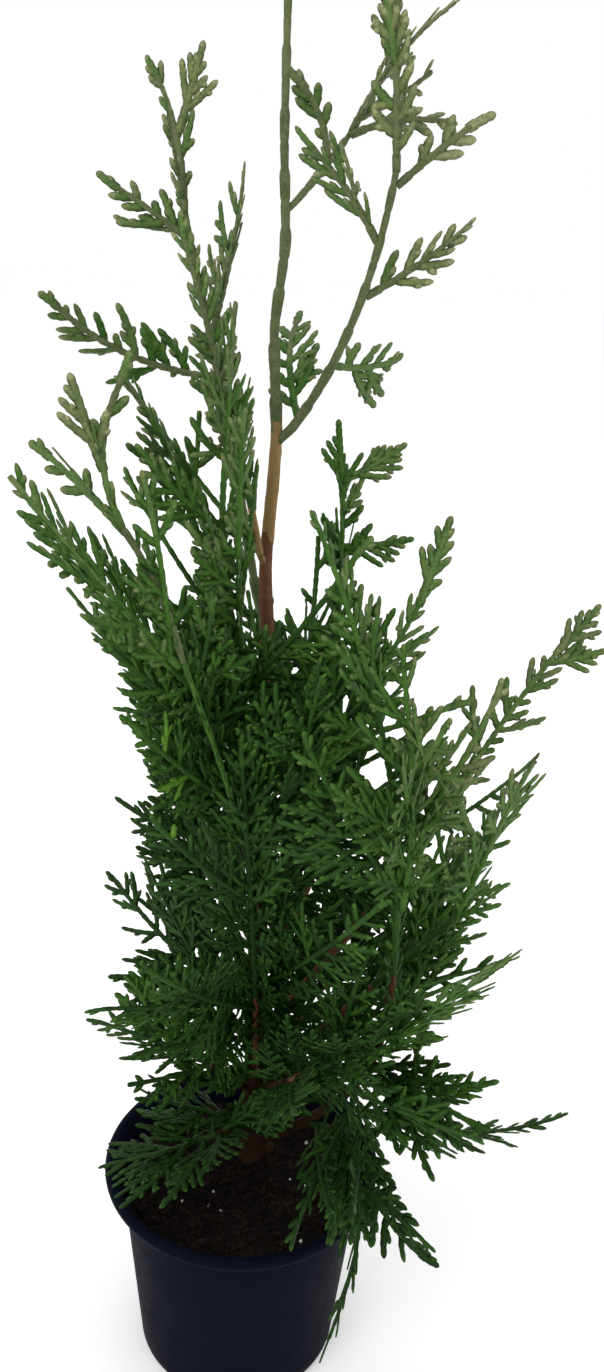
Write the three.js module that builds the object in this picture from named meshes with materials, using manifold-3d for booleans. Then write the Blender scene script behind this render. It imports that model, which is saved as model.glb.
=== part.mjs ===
// Potted green arborvitae, about 65 cm tall, in a round nursery pot 13 cm across.
// Millimetres and degrees, +Z up, origin at the middle of the pot's flat underside.
// +X is to the right and +Y to the back, as the plant is seen from its front.
import * as THREE from 'three';
import { mergeVertices } from 'three/addons/utils/BufferGeometryUtils.js';
import Module from 'manifold-3d';

const wasm = await Module();
wasm.setup();

// Pot: thin tapered wall, a rolled rim that stands out from it, and drain holes in the floor
const POT_HEIGHT = 102;
const RIM_RADIUS = 65;
const RIM_DEPTH = 6;
const RIM_INNER = 60.5;
const WALL_TOP = 57;
const WALL_FOOT = 48;
const WALL = 1.6;
const FLOOR = 2;
const LIP = 1;
const INSIDE_TOP = WALL_TOP - 0.4;
const INSIDE_FOOT = WALL_FOOT - WALL + 0.4;
const INSIDE_HEIGHT = POT_HEIGHT - RIM_DEPTH - WALL;
const POT_SIDES = 24;
const DRAIN_HOLES = 6;
const DRAIN_RADIUS = 4;
const DRAIN_CIRCLE = 36;
const DRAIN_SIDES = 6;

// Potting soil fills the pot to 14 mm under the rim and keeps clear of the wall
const SOIL_TOP = 87.7;
const SHOULDER_DROP = 2;
const SHOULDER_WIDTH = 6;
const GAP = 0.3;

// Trunk line: height, x, y and radius, from the flat cut on the soil to the top of the shoot
const TRUNK_FOOT = SOIL_TOP + GAP;
const TRUNK_LINE = [
  [TRUNK_FOOT, 6, 18, 9],
  [94, 5.5, 17.5, 6.4],
  [108, 5, 17, 5.4],
  [200, 4, 15, 4.3],
  [300, 3.5, 15, 3.3],
  [360, 3.2, 14, 2.8],
  [388, 1.4, 14, 2.6],
  [410, 2.6, 13, 2.5],
  [440, 4.2, 13, 2.4],
  [480, 1.6, 12, 1.9],
  [510, 5, 12, 1.9],
  [545, 3, 11, 1.6],
  [600, 2.5, 10, 1.3],
];
const TRUNK_SIDES = 10;
const FLARE_LOBES = 3;
const FLARE_DEPTH = 0.14;
const FLARE_HEIGHT = 12;

// A limb leaves its carrier at a distance along it. It starts at a heading (0 is +X, 90 is +Y) and
// a rise above level, and turns by sweep and bend over its length. Radii are at its foot and tip.
// name, carrier, distance, heading, rise, length, sweep, bend, foot radius, tip radius
const BOUGHS = [
  ['bough_front_left', 'trunk', 122, 269, 62, 182, -47, 5, 2.4, 1.5],
  ['bough_front_left_upper', 'bough_front_left', 182, 192, 76, 50, -11, -20, 1.4, 1.1],
  ['bough_left_tall', 'trunk', 278, 135, 74, 162, 5, -2, 2, 1.2],
  ['bough_left_middle', 'trunk', 233, 241, 66, 114, -21, 5, 1.8, 1.2],
  ['bough_upper_right', 'trunk', 353, 329, 51, 105, -26, 27, 1.9, 1.2],
  ['bough_leader_side', 'trunk', 436, 21, 47, 35, 8, 4, 1.4, 1.1],
  ['bough_right_back', 'trunk', 113, 32, 49, 160, 80, 27, 2.3, 1.4],
  ['bough_right_front', 'trunk', 10, 337, 42, 217, -98, 48, 3, 1.6],
  ['bough_far_right', 'trunk', 73, 26, 44, 119, -12, 9, 2.2, 1.4],
  ['bough_right', 'trunk', 44, 337, 57, 146, -11, -5, 2.2, 1.4],
  ['bough_back_left', 'trunk', 90, 120, 55, 129, 43, 18, 2.3, 1.3],
];
const BOUGH_SIDES = 5;

// A mass of foliage has one stem, given as a limb is, and flat sprays to both sides of it.
// Face rolls its flat plane about the stem, reach is its longest spray, bare is the bare foot.
// name, carrier, distance, heading, rise, length, sweep, bend, face, reach, bare, side twigs
const MASSES = [
  ['leader_tip', 'trunk', 513, 100, 88, 42, 0, 0, 75, 9, 3, 0],
  ['leader_side_tip', 'bough_leader_side', 40, 33, 61, 65, 1, -29, 153, 14, 3, 1],
  ['leader_side_left', 'bough_leader_side', 22, 169, 84, 24, 16, -36, -79, 9, 4, 0],
  ['leader_side_right', 'bough_leader_side', 34, -19, 23, 35, 12, -31, -126, 11, 4, 0],
  ['upper_right_tip', 'bough_upper_right', 105, 294, 98, 51, 16, -3, -73, 11, 4, 1],
  ['upper_right_high', 'bough_upper_right', 101, 355, 43, 29, 8, -7, -109, 11, 3, 0],
  ['upper_right_low', 'bough_upper_right', 63, -1, 31, 36, -30, 8, 42, 14, 4, 0],
  ['upper_right_left', 'bough_upper_right', 82, 184, 59, 36, -11, -18, 44, 21, 3, 0],
  ['fork_right', 'bough_upper_right', 34, 45, -8, 33, 3, 17, 99, 16, 5, 0],
  ['fork_sprig', 'bough_upper_right', 9, 109, 49, 53, -35, -22, -12, 18, 3, 0],
  ['left_tall_tip', 'bough_left_tall', 162, 139, 89, 51, 7, -32, -101, 12, 3, 1],
  ['left_tall_high', 'bough_left_tall', 153, 180, 36, 32, -5, -8, 118, 13, 3, 1],
  ['left_tall_inner', 'bough_left_tall', 117, 26, 73, 54, 0, 10, -3, 24, 3, 1],
  ['left_tall_outer', 'bough_left_tall', 98, 201, 6, 75, 32, 30, -105, 21, 5, 0],
  ['left_tall_lower', 'trunk', 303, 248, 65, 129, -30, 5, 28, 21, 4, 4],
  ['left_green', 'bough_left_middle', 105, 206, 66, 53, 5, -13, -41, 25, 3, 2],
  ['left_middle_front', 'bough_left_middle', 56, 243, 63, 110, 65, 25, 33, 40, 3, 3],
  ['far_left_fan', 'bough_front_left', 180, 213, 48, 86, -32, 5, -41, 30, 3, 1],
  ['front_left_tip', 'bough_front_left_upper', 50, 177, 67, 50, -169, -1, 62, 12, 5, 0],
  ['left_outer', 'bough_front_left_upper', 48, 145, 35, 39, 3, -5, -80, 10, 3, 1],
  ['front_left_inner', 'bough_front_left', 86, 329, 54, 122, 38, 11, -58, 40, 3, 5],
  ['front_left_outer', 'bough_front_left', 74, 219, 72, 126, -52, 1, -87, 40, 4, 5],
  ['centre_front', 'trunk', 195, 247, 66, 176, 28, 10, 35, 37, 8, 6],
  ['left_dark', 'trunk', 128, 147, 40, 82, -9, 23, -58, 40, 8, 4],
  ['front_low_left', 'trunk', 55, 270, 68, 196, -24, 11, 10, 40, 26, 7],
  ['front_low_right', 'trunk', 44, 291, 41, 180, 54, 9, -31, 40, 28, 7],
  ['low_left_light', 'trunk', 68, 247, 60, 107, -42, -48, -105, 36, 14, 3],
  ['low_left_long', 'trunk', 41, 217, 59, 84, -60, -58, -90, 32, 14, 3],
  ['low_left_up', 'trunk', 85, 164, 29, 85, -21, 8, -67, 40, 10, 4],
  ['droop_left', 'trunk', 24, 237, 18, 71, -64, -39, 3, 36, 8, 2],
  ['right_back_tip', 'bough_right_back', 178, 84, 91, 83, -58, 3, 78, 19, 3, 3],
  ['right_dark', 'trunk', 155, -19, 45, 118, 25, 46, 90, 40, 8, 5],
  ['right_front_tip', 'bough_right_front', 226, 344, 98, 135, 47, 18, 118, 26, 3, 1],
  ['right_front_side', 'bough_right_front', 198, 290, 79, 105, -106, 1, 40, 40, 3, 4],
  ['far_right_tip', 'bough_far_right', 122, -10, 69, 110, 4, -11, 76, 25, 3, 1],
  ['right_tip', 'bough_right', 146, 334, 74, 71, -6, -2, -30, 37, 3, 2],
  ['right_middle', 'bough_right', 78, 24, 34, 97, 17, 13, 48, 37, 3, 4],
  ['right_low', 'bough_right_front', 137, 54, -20, 80, 29, 96, 0, 13, 3, 2],
  ['right_low_front', 'bough_right_front', 101, 307, 6, 53, 10, -4, 54, 33, 3, 3],
  ['right_far_low', 'bough_right_front', 56, 12, -40, 112, -7, 58, -11, 22, 4, 1],
  ['droop_front_right', 'bough_right_front', 34, 305, 36, 126, -68, -79, 71, 27, 8, 2],
  ['droop_right', 'bough_right_front', 72, 269, -56, 76, 72, 24, 24, 25, 12, 2],
  ['back_left_tip', 'bough_back_left', 140, 133, 84, 84, 17, -5, -31, 38, 3, 3],
  ['back_left_low', 'bough_back_left', 50, 95, 30, 112, 40, 22, 8, 40, 4, 4],
  ['back_right_tip', 'trunk', 195, 58, 44, 122, 30, 34, -5, 36, 10, 5],
  ['back_low', 'trunk', 50, 30, 40, 126, 30, 44, 31, 40, 12, 5],
];

// Blades leave a stem or twig every BLADE_STEP, left and right in turn, at an angle that closes
// towards the tip, and curl forward. Each stands for the few narrow sprays of a living frond there.
const BLADE_STEP = 13;
const BLADE_ANGLE = 50;
const BLADE_ANGLE_TIP = 36;
const BLADE_TILT = 20;
const BLADE_CURL = 0.14;
const FULLEST = 0.3;
const FOOT_SHARE = 0.55;
const TIP_SHARE = 0.2;
const SHORTEST_BLADE = 6;
const TIP_BLADE = 10.5;
const BLADE_WIDTH = 9.5;
const WIDTH_SHARE = 0.4;
const BLADE_ROOT = 0.45;
const BLADE_THICK = 1.1;
const TOOTHED_FROM = 26;
const TOOTH_PLACE = 0.52;
const TOOTH_STAGGER = 0.1;
const TOOTH_SHARE = 0.8;
const NOTCH_PLACE = 0.7;
const NOTCH_SHARE = 0.24;
const NOTCH_RIDGE = 0.6;
const PLAIN_WIDEST = 0.5;
const PLAIN_SHARE = 0.6;

// Side twigs leave a stem left and right in turn, tilted to its front and its back by pairs, and
// curve forward. They stand between two shares of the stem, each as long as a share of what is left.
const TWIG_FIRST = 0.35;
const TWIG_LAST = 0.7;
const TWIG_SHARE = 0.62;
const TWIG_ANGLE = 40;
const TWIG_TILT = 60;
const TWIG_CURL = 0.22;
const TWIG_REACH = 0.62;
const TWIG_BARE = 4;
const TWIG_STEP = 20;
const TWIG_FOOT = 0.8;
const TWIG_SEED = 201;
const TWIG_BLADE_SEED = 301;
const MOST_TWIGS = 7;
const STEM_FOOT = 1.05;
const STEM_TIP = 0.5;
const STEM_SIDES = 3;
const LIMB_SAG = 0.3;
const ROOM = 0.3;

const PATH_STEPS = 24;
const DEGREE = Math.PI / 180;

const COLOURS = {
  pot: new THREE.MeshStandardMaterial({ color: 0x1b1d26, roughness: 0.45, metalness: 0 }),
  soil: new THREE.MeshStandardMaterial({ color: 0x120f0c, roughness: 0.95, metalness: 0 }),
  bark: new THREE.MeshStandardMaterial({ color: 0x68513f, roughness: 0.85, metalness: 0 }),
  leaf: new THREE.MeshStandardMaterial({ color: 0x2a431f, roughness: 0.6, metalness: 0 }),
};

const vector = (x, y, z) => new THREE.Vector3(x, y, z);

// Numbers from 0 to 1 that are the same on every run
function seeded(seed) {
  let state = seed;
  return () => {
    state = (state * 16807) % 2147483647;
    return state / 2147483647;
  };
}

// A closed solid from its corners and its triangles, three corner numbers each
function solidOf(corners, triangles) {
  const vertProperties = new Float32Array(corners.flatMap((corner) => corner.toArray()));
  const triVerts = new Uint32Array(triangles.flat());
  return new wasm.Manifold(new wasm.Mesh({ numProp: 3, vertProperties, triVerts }));
}

function solidFromGeometry(geometry) {
  const bare = geometry.clone();
  bare.deleteAttribute('normal');
  bare.deleteAttribute('uv');
  const merged = mergeVertices(bare, 1e-4);
  const place = merged.getAttribute('position');
  const index = merged.getIndex().array;
  const triVerts = [];
  for (let i = 0; i < index.length; i += 3) {
    const [a, b, c] = [index[i], index[i + 1], index[i + 2]];
    if (a !== b && b !== c && c !== a) triVerts.push(a, b, c);
  }
  const mesh = { numProp: 3, vertProperties: place.array, triVerts: new Uint32Array(triVerts) };
  return new wasm.Manifold(new wasm.Mesh(mesh));
}

function meshOf(name, solid, material) {
  const data = solid.getMesh();
  const geometry = new THREE.BufferGeometry();
  geometry.setAttribute('position', new THREE.BufferAttribute(data.vertProperties, 3));
  geometry.setIndex(new THREE.BufferAttribute(data.triVerts, 1));
  geometry.computeVertexNormals();
  const mesh = new THREE.Mesh(geometry, material);
  mesh.name = name;
  return mesh;
}

// A solid lofted through rings of corners, with a flat cap at each end or a point at the last
function loft(rings, point) {
  const sides = rings[0].length;
  const last = (rings.length - 1) * sides;
  const triangles = [];
  for (let start = 0; start < last; start += sides) {
    for (let i = 0; i < sides; i++) {
      const [a, b] = [start + i, start + ((i + 1) % sides)];
      triangles.push([a, b, b + sides], [a, b + sides, a + sides]);
    }
  }
  for (let i = 1; i < sides - 1; i++) {
    triangles.push([0, i + 1, i]);
    if (!point) triangles.push([last, last + i, last + i + 1]);
  }
  for (let i = 0; point && i < sides; i++) {
    triangles.push([last + i, last + ((i + 1) % sides), last + sides]);
  }
  return solidOf(point ? [...rings.flat(), point] : rings.flat(), triangles);
}

// The corners of a limb's ring about its middle, the first of them on the ring's normal
function ringCorners(frame, radius, sides) {
  return Array.from({ length: sides }, (_, i) => {
    const turn = (i / sides) * 2 * Math.PI;
    return frame.normal.clone().multiplyScalar(radius * Math.cos(turn))
      .addScaledVector(frame.side, -radius * Math.sin(turn));
  });
}

// How far a ring's outline lies from its middle in one direction
function ringReach(frame, radius, sides, direction) {
  const turn = Math.atan2(-direction.dot(frame.side), direction.dot(frame.normal));
  const step = (2 * Math.PI) / sides;
  const part = (((turn % step) + step) % step) - step / 2;
  return (radius * Math.cos(step / 2)) / Math.cos(part);
}

// The line of a limb: its middle and its three directions at each share of its length
function limbLine(limb) {
  const directionAt = (share) => {
    const azimuth = (limb.heading + limb.sweep * share) * DEGREE;
    const rise = (limb.rise + limb.bend * share) * DEGREE;
    const level = Math.cos(rise);
    return vector(level * Math.cos(azimuth), level * Math.sin(azimuth), Math.sin(rise));
  };
  const start = vector(0, 0, 0);
  const points = [vector(0, 0, 0)];
  for (let step = 0; step < PATH_STEPS; step++) {
    const along = directionAt((step + 0.5) / PATH_STEPS);
    points.push(points[step].clone().addScaledVector(along, limb.length / PATH_STEPS));
  }
  const pointAt = (share) => {
    const place = Math.min(share * PATH_STEPS, PATH_STEPS - 1e-9);
    const step = Math.floor(place);
    return points[step].clone().lerp(points[step + 1], place - step).add(start);
  };
  const frameAt = (share) => {
    const azimuth = (limb.heading + limb.sweep * share) * DEGREE;
    const along = directionAt(share);
    const level = vector(-Math.sin(azimuth), Math.cos(azimuth), 0);
    const up = along.clone().cross(level);
    const roll = (limb.face ?? 0) * DEGREE;
    const side = level.clone().multiplyScalar(Math.cos(roll)).addScaledVector(up, Math.sin(roll));
    const normal = up.multiplyScalar(Math.cos(roll)).addScaledVector(level, -Math.sin(roll));
    return { along, side, normal };
  };
  const level = Math.cos((limb.rise + limb.bend / 2) * DEGREE);
  const turning = (Math.abs(limb.sweep * level) + Math.abs(limb.bend)) * DEGREE;
  return { start, pointAt, frameAt, turning, length: limb.length };
}

// A limb is straight between its stages, which stay within LIMB_SAG of its curved line
function limbRings(line, foot, tip, sides) {
  const stages = Math.max(2, Math.ceil(Math.sqrt((line.length * line.turning) / (8 * LIMB_SAG))));
  const rings = [];
  for (let stage = 0; stage <= stages; stage++) {
    const share = stage / stages;
    const middle = line.pointAt(share);
    const corners = ringCorners(line.frameAt(share), foot + (tip - foot) * share, sides);
    rings.push(corners.map((corner) => corner.add(middle)));
  }
  return rings;
}

// A stem or twig ends in a plain blade in line with it, and has room added all round
function stemSolid(line, foot, extra) {
  const rings = limbRings(line, foot + extra, STEM_TIP + extra, STEM_SIDES);
  const { along, side, normal } = line.frameAt(1);
  const corner = (share, sideways, lift) => line.pointAt(1)
    .addScaledVector(along, TIP_BLADE * share).addScaledVector(side, sideways)
    .addScaledVector(normal, lift);
  const half = PLAIN_SHARE * WIDTH_SHARE * TIP_BLADE + extra;
  const flat = -BLADE_THICK / 4 - extra;
  const ridge = corner(PLAIN_WIDEST, 0, BLADE_THICK / 2 + extra);
  rings.push([ridge, corner(PLAIN_WIDEST, -half, flat), corner(PLAIN_WIDEST, half, flat)]);
  return loft(rings, corner(1, 0, 0));
}

// A limb starts beside its carrier, or past the carrier's tip, with its foot GAP clear of it
function seat(line, carrier, at, radius, sides) {
  const share = Math.min(at / carrier.line.length, 1);
  const { along } = carrier.line.frameAt(share);
  const foot = line.frameAt(0);
  const corners = ringCorners(foot, radius, sides);
  const clearOf = (direction) => GAP - Math.min(...corners.map((corner) => corner.dot(direction)));
  line.start.copy(carrier.line.pointAt(share));
  if (share === 1) {
    line.start.addScaledVector(foot.along, clearOf(along) / foot.along.dot(along));
    return line;
  }
  const sideways = foot.along.clone().addScaledVector(along, -foot.along.dot(along)).normalize();
  line.start.addScaledVector(sideways, carrier.reachAt(share, sideways) + clearOf(sideways));
  return line;
}

function makePot() {
  const bead = RIM_DEPTH / 2;
  const rimMiddle = vector(RIM_RADIUS - bead, POT_HEIGHT - bead, 0);
  const profile = [[0, 0], [WALL_FOOT - LIP, 0], [WALL_FOOT, LIP]];
  profile.push([WALL_TOP, POT_HEIGHT - RIM_DEPTH]);
  for (const turn of [-90, -30, 30, 90]) {
    const x = rimMiddle.x + bead * Math.cos(turn * DEGREE);
    profile.push([x, rimMiddle.y + bead * Math.sin(turn * DEGREE)]);
  }
  profile.push([RIM_INNER, POT_HEIGHT - LIP], [INSIDE_TOP, INSIDE_HEIGHT]);
  profile.push([INSIDE_FOOT, FLOOR], [0, FLOOR]);
  const outline = profile.map(([radius, height]) => new THREE.Vector2(radius, height));
  const lathe = new THREE.LatheGeometry(outline, POT_SIDES);
  lathe.rotateX(Math.PI / 2);
  let pot = solidFromGeometry(lathe);
  for (let hole = 0; hole < DRAIN_HOLES; hole++) {
    const turn = ((hole + 0.5) / DRAIN_HOLES) * 2 * Math.PI;
    const drill = new THREE.CylinderGeometry(DRAIN_RADIUS, DRAIN_RADIUS, 3 * FLOOR, DRAIN_SIDES);
    drill.rotateX(Math.PI / 2);
    drill.translate(DRAIN_CIRCLE * Math.cos(turn), DRAIN_CIRCLE * Math.sin(turn), 0.5 * FLOOR);
    pot = pot.subtract(solidFromGeometry(drill));
  }
  return pot;
}

function makeSoil() {
  const inside = (height) => {
    const share = (height - FLOOR) / (INSIDE_HEIGHT - FLOOR);
    return INSIDE_FOOT + (INSIDE_TOP - INSIDE_FOOT) * share - 2 * GAP;
  };
  const foot = FLOOR + GAP;
  const shoulder = SOIL_TOP - SHOULDER_DROP;
  const profile = [[0, foot], [inside(foot), foot], [inside(shoulder), shoulder]];
  profile.push([inside(shoulder) - SHOULDER_WIDTH, SOIL_TOP], [0, SOIL_TOP]);
  const outline = profile.map(([radius, height]) => new THREE.Vector2(radius, height));
  const lathe = new THREE.LatheGeometry(outline, POT_SIDES);
  lathe.rotateX(Math.PI / 2);
  return solidFromGeometry(lathe);
}

// The trunk's rings are level, so its foot is a flat cut, and the foot flares in three lobes
function makeTrunk() {
  const rings = TRUNK_LINE.map(([height, x, y, radius]) => {
    const flare = Math.max(0, 1 - (height - TRUNK_FOOT) / FLARE_HEIGHT) * FLARE_DEPTH;
    return Array.from({ length: TRUNK_SIDES }, (_, i) => {
      const turn = (i / TRUNK_SIDES) * 2 * Math.PI;
      const reach = radius * (1 + flare * Math.cos(FLARE_LOBES * turn));
      return vector(x + reach * Math.cos(turn), y + reach * Math.sin(turn), height);
    });
  });
  return loft(rings);
}

function trunkCarrier() {
  const points = TRUNK_LINE.map(([height, x, y]) => vector(x, y, height));
  const lengths = [0];
  for (let i = 1; i < points.length; i++) {
    lengths.push(lengths[i - 1] + points[i].distanceTo(points[i - 1]));
  }
  const length = lengths.at(-1);
  const stretch = (share) => {
    const place = share * length;
    const i = Math.min(Math.max(lengths.findIndex((value) => value >= place), 1), points.length - 1);
    return [i, (place - lengths[i - 1]) / (lengths[i] - lengths[i - 1])];
  };
  const pointAt = (share) => {
    const [i, part] = stretch(share);
    return points[i - 1].clone().lerp(points[i], part);
  };
  const frameAt = (share) => {
    const [i] = stretch(share);
    return { along: points[i].clone().sub(points[i - 1]).normalize() };
  };
  const level = { side: vector(0, -1, 0), normal: vector(1, 0, 0) };
  const reachAt = (share, direction) => {
    const [i, part] = stretch(share);
    const radius = TRUNK_LINE[i - 1][3] * (1 - part) + TRUNK_LINE[i][3] * part;
    return ringReach(level, radius, TRUNK_SIDES, direction);
  };
  return { line: { pointAt, frameAt, length }, reachAt };
}

// How long a blade is at each share of the stem: fullest below the middle, short at the tip
function bladeShare(share) {
  if (share < FULLEST) return FOOT_SHARE + (1 - FOOT_SHARE) * (share / FULLEST);
  return 1 - (1 - TIP_SHARE) * ((share - FULLEST) / (1 - FULLEST)) ** 1.2;
}

// The blades to both sides of a stem or twig, by its seeded rule
function bladesOf({ line, length, reach, bare, step, seed }) {
  const random = seeded(seed);
  const blades = [];
  let hand = 1;
  for (let place = bare + step / 2; place < length - step / 2; place += step) {
    const share = place / length;
    const { along, side, normal } = line.frameAt(share);
    const stretch = 0.86 + 0.28 * random();
    const tilt = BLADE_TILT * (2 * random() - 1) * DEGREE;
    const angle = (BLADE_ANGLE + (BLADE_ANGLE_TIP - BLADE_ANGLE) * share) * DEGREE;
    const out = side.clone().multiplyScalar(hand * Math.cos(tilt));
    out.addScaledVector(normal, Math.sin(tilt));
    const heading = along.clone().multiplyScalar(Math.cos(angle));
    heading.addScaledVector(out, Math.sin(angle));
    const size = Math.max(SHORTEST_BLADE, reach * bladeShare(share) * stretch);
    blades.push({ root: line.pointAt(share), heading, along, normal, length: size });
    hand = -hand;
  }
  return blades;
}

// A twig's line, which bends towards the way that its stem runs
function twigLine(root, heading, level, along, length) {
  const bend = along.clone().multiplyScalar(TWIG_CURL * length);
  const pointAt = (share) => root.clone().addScaledVector(heading, length * share)
    .addScaledVector(bend, share * share);
  const frameAt = (share) => {
    const forward = heading.clone().multiplyScalar(length).addScaledVector(bend, 2 * share).normalize();
    const side = level.clone().cross(forward).normalize();
    return { along: forward, side, normal: forward.clone().cross(side) };
  };
  return { pointAt, frameAt, turning: 2 * TWIG_CURL * Math.sin(TWIG_ANGLE * DEGREE), length };
}

// The side twigs of a mass, by its seeded rule
function twigsOf(mass, number) {
  const random = seeded(number + TWIG_SEED);
  const first = Math.max(TWIG_BARE, TWIG_FIRST * mass.bare);
  const stretch = TWIG_LAST * mass.length - first;
  return Array.from({ length: mass.twigs }, (_, i) => {
    const place = first + (stretch * (i + 0.5 * random())) / mass.twigs;
    const share = place / mass.length;
    const { along, side, normal } = mass.line.frameAt(share);
    const tilt = TWIG_TILT * (0.4 + 0.6 * random()) * (i % 4 < 2 ? 1 : -1) * DEGREE;
    const hand = i % 2 === 1 ? 1 : -1;
    const out = side.clone().multiplyScalar(hand * Math.cos(tilt));
    out.addScaledVector(normal, Math.sin(tilt));
    const heading = along.clone().multiplyScalar(Math.cos(TWIG_ANGLE * DEGREE));
    heading.addScaledVector(out, Math.sin(TWIG_ANGLE * DEGREE));
    const level = normal.clone().multiplyScalar(Math.cos(tilt));
    level.addScaledVector(side, -hand * Math.sin(tilt));
    const length = TWIG_SHARE * (mass.length - place) * (0.8 + 0.35 * random());
    const line = twigLine(mass.line.pointAt(share), heading, level, along, length);
    const seed = TWIG_BLADE_SEED + number * MOST_TWIGS + i;
    return { line, length, reach: mass.reach * TWIG_REACH, bare: TWIG_BARE, step: TWIG_STEP, seed };
  });
}

// A blade with a flat underside, thickest along its middle, and room added all round. A long one
// has a tooth to each side, and a short one is plain.
function bladeSolid(blade, extra) {
  const across = blade.normal.clone().cross(blade.heading).normalize();
  const up = blade.heading.clone().cross(across).normalize();
  const bend = blade.along.clone().multiplyScalar(BLADE_CURL * blade.length);
  const length = blade.length + extra;
  const width = Math.min(BLADE_WIDTH, WIDTH_SHARE * length);
  const corner = (share, sideways, lift) => blade.root.clone()
    .addScaledVector(blade.heading, length * share).addScaledVector(bend, share * share)
    .addScaledVector(across, sideways).addScaledVector(up, lift);
  const flat = -BLADE_THICK / 2 - extra;
  const ridge = BLADE_THICK / 2 + extra;
  if (blade.length < TOOTHED_FROM) {
    const half = PLAIN_SHARE * width + extra;
    const corners = [corner(0, 0, 0), corner(PLAIN_WIDEST, -half, flat)];
    corners.push(corner(PLAIN_WIDEST, half, flat), corner(PLAIN_WIDEST, 0, ridge), corner(1, 0, flat));
    return solidOf(corners, [[0, 1, 3], [0, 3, 2], [1, 4, 3], [3, 4, 2], [0, 2, 1], [1, 2, 4]]);
  }
  const root = BLADE_ROOT + extra;
  const notch = NOTCH_SHARE * width + extra;
  const tooth = TOOTH_SHARE * width + extra;
  const corners = [corner(0, -root, flat), corner(0, root, flat), corner(0, 0, ridge)];
  corners.push(corner(TOOTH_PLACE, -tooth, flat));
  corners.push(corner(TOOTH_PLACE - TOOTH_STAGGER, tooth, flat));
  corners.push(corner(NOTCH_PLACE, -notch, flat), corner(NOTCH_PLACE, notch, flat));
  corners.push(corner(NOTCH_PLACE, 0, NOTCH_RIDGE * ridge), corner(1, 0, flat));
  return solidOf(corners, [
    [0, 3, 2], [2, 3, 7], [3, 5, 7], [5, 8, 7],
    [2, 4, 1], [2, 7, 4], [4, 7, 6], [7, 8, 6],
    [0, 2, 1], [0, 5, 3], [0, 6, 5], [0, 1, 6], [1, 4, 6], [5, 6, 8],
  ]);
}

function boxesMeet(a, b) {
  return [0, 1, 2].every((i) => a.min[i] < b.max[i] && b.min[i] < a.max[i]);
}

// The space taken so far, as solids with their boxes and what they belong to
const taken = [];

function take(owner, solid) {
  taken.push({ owner, solid, box: solid.boundingBox() });
}

function isFree(owner, solid) {
  const box = solid.boundingBox();
  return !taken.some((other) => other.owner !== owner && boxesMeet(box, other.box)
    && !solid.intersect(other.solid).isEmpty());
}

function makePlant() {
  const plant = new THREE.Group();
  const addNode = (name, solid, material) => plant.add(meshOf(name, solid, material));
  const fixed = { pot: [makePot(), COLOURS.pot], soil: [makeSoil(), COLOURS.soil] };
  fixed.trunk = [makeTrunk(), COLOURS.bark];
  for (const [name, [solid, material]] of Object.entries(fixed)) {
    take(name, solid);
    addNode(name, solid, material);
  }

  const carriers = { trunk: trunkCarrier() };
  for (const [name, on, at, heading, rise, length, sweep, bend, foot, tip] of BOUGHS) {
    const limb = limbLine({ heading, rise, length, sweep, bend });
    const line = seat(limb, carriers[on], at, foot, BOUGH_SIDES);
    const reachAt = (share, direction) => {
      const radius = foot + (tip - foot) * share;
      return ringReach(line.frameAt(share), radius, BOUGH_SIDES, direction);
    };
    carriers[name] = { line, reachAt };
    const solid = loft(limbRings(line, foot, tip, BOUGH_SIDES));
    take(name, solid);
    addNode(name, solid, COLOURS.bark);
  }

  const masses = MASSES.map((row, number) => {
    const [name, on, at, heading, rise, length, sweep, bend, face, reach, bare, twigs] = row;
    const limb = limbLine({ heading, rise, length, sweep, bend, face });
    const line = seat(limb, carriers[on], at, STEM_FOOT, STEM_SIDES);
    const solid = stemSolid(line, STEM_FOOT, 0);
    const stem = { line, length, reach, bare, step: BLADE_STEP, seed: number + 1 };
    take(stem, solid);
    return { name, number, ...stem, twigs, stems: [stem], solid };
  });

  // A twig or blade sinks into the stem that bears it. One that would meet anything else is left out.
  const addIfFree = (mass, bearer, owner, shape) => {
    if (!isFree(bearer, shape(ROOM))) return;
    const whole = shape(0);
    take(owner, whole);
    mass.solid = mass.solid.add(whole);
    if (owner.line) mass.stems.push(owner);
  };
  for (const mass of masses) {
    for (const twig of twigsOf(mass, mass.number)) {
      addIfFree(mass, mass.stems[0], twig, (extra) => stemSolid(twig.line, TWIG_FOOT, extra));
    }
  }
  for (const mass of masses) {
    for (const stem of mass.stems) {
      for (const blade of bladesOf(stem)) {
        addIfFree(mass, stem, blade, (extra) => bladeSolid(blade, extra));
      }
    }
    addNode(mass.name, mass.solid, COLOURS.leaf);
  }
  return plant;
}

export default makePlant();
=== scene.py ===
"""A young arborvitae in a nursery pot: scale-leaved fronds, barked limbs, moulded pot and damp soil.

Sizes are in millimetres and degrees until a mesh is made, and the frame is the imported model's.
"""
import copy
import itertools
import math

import bpy
import numpy as np
from mathutils import Matrix


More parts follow.
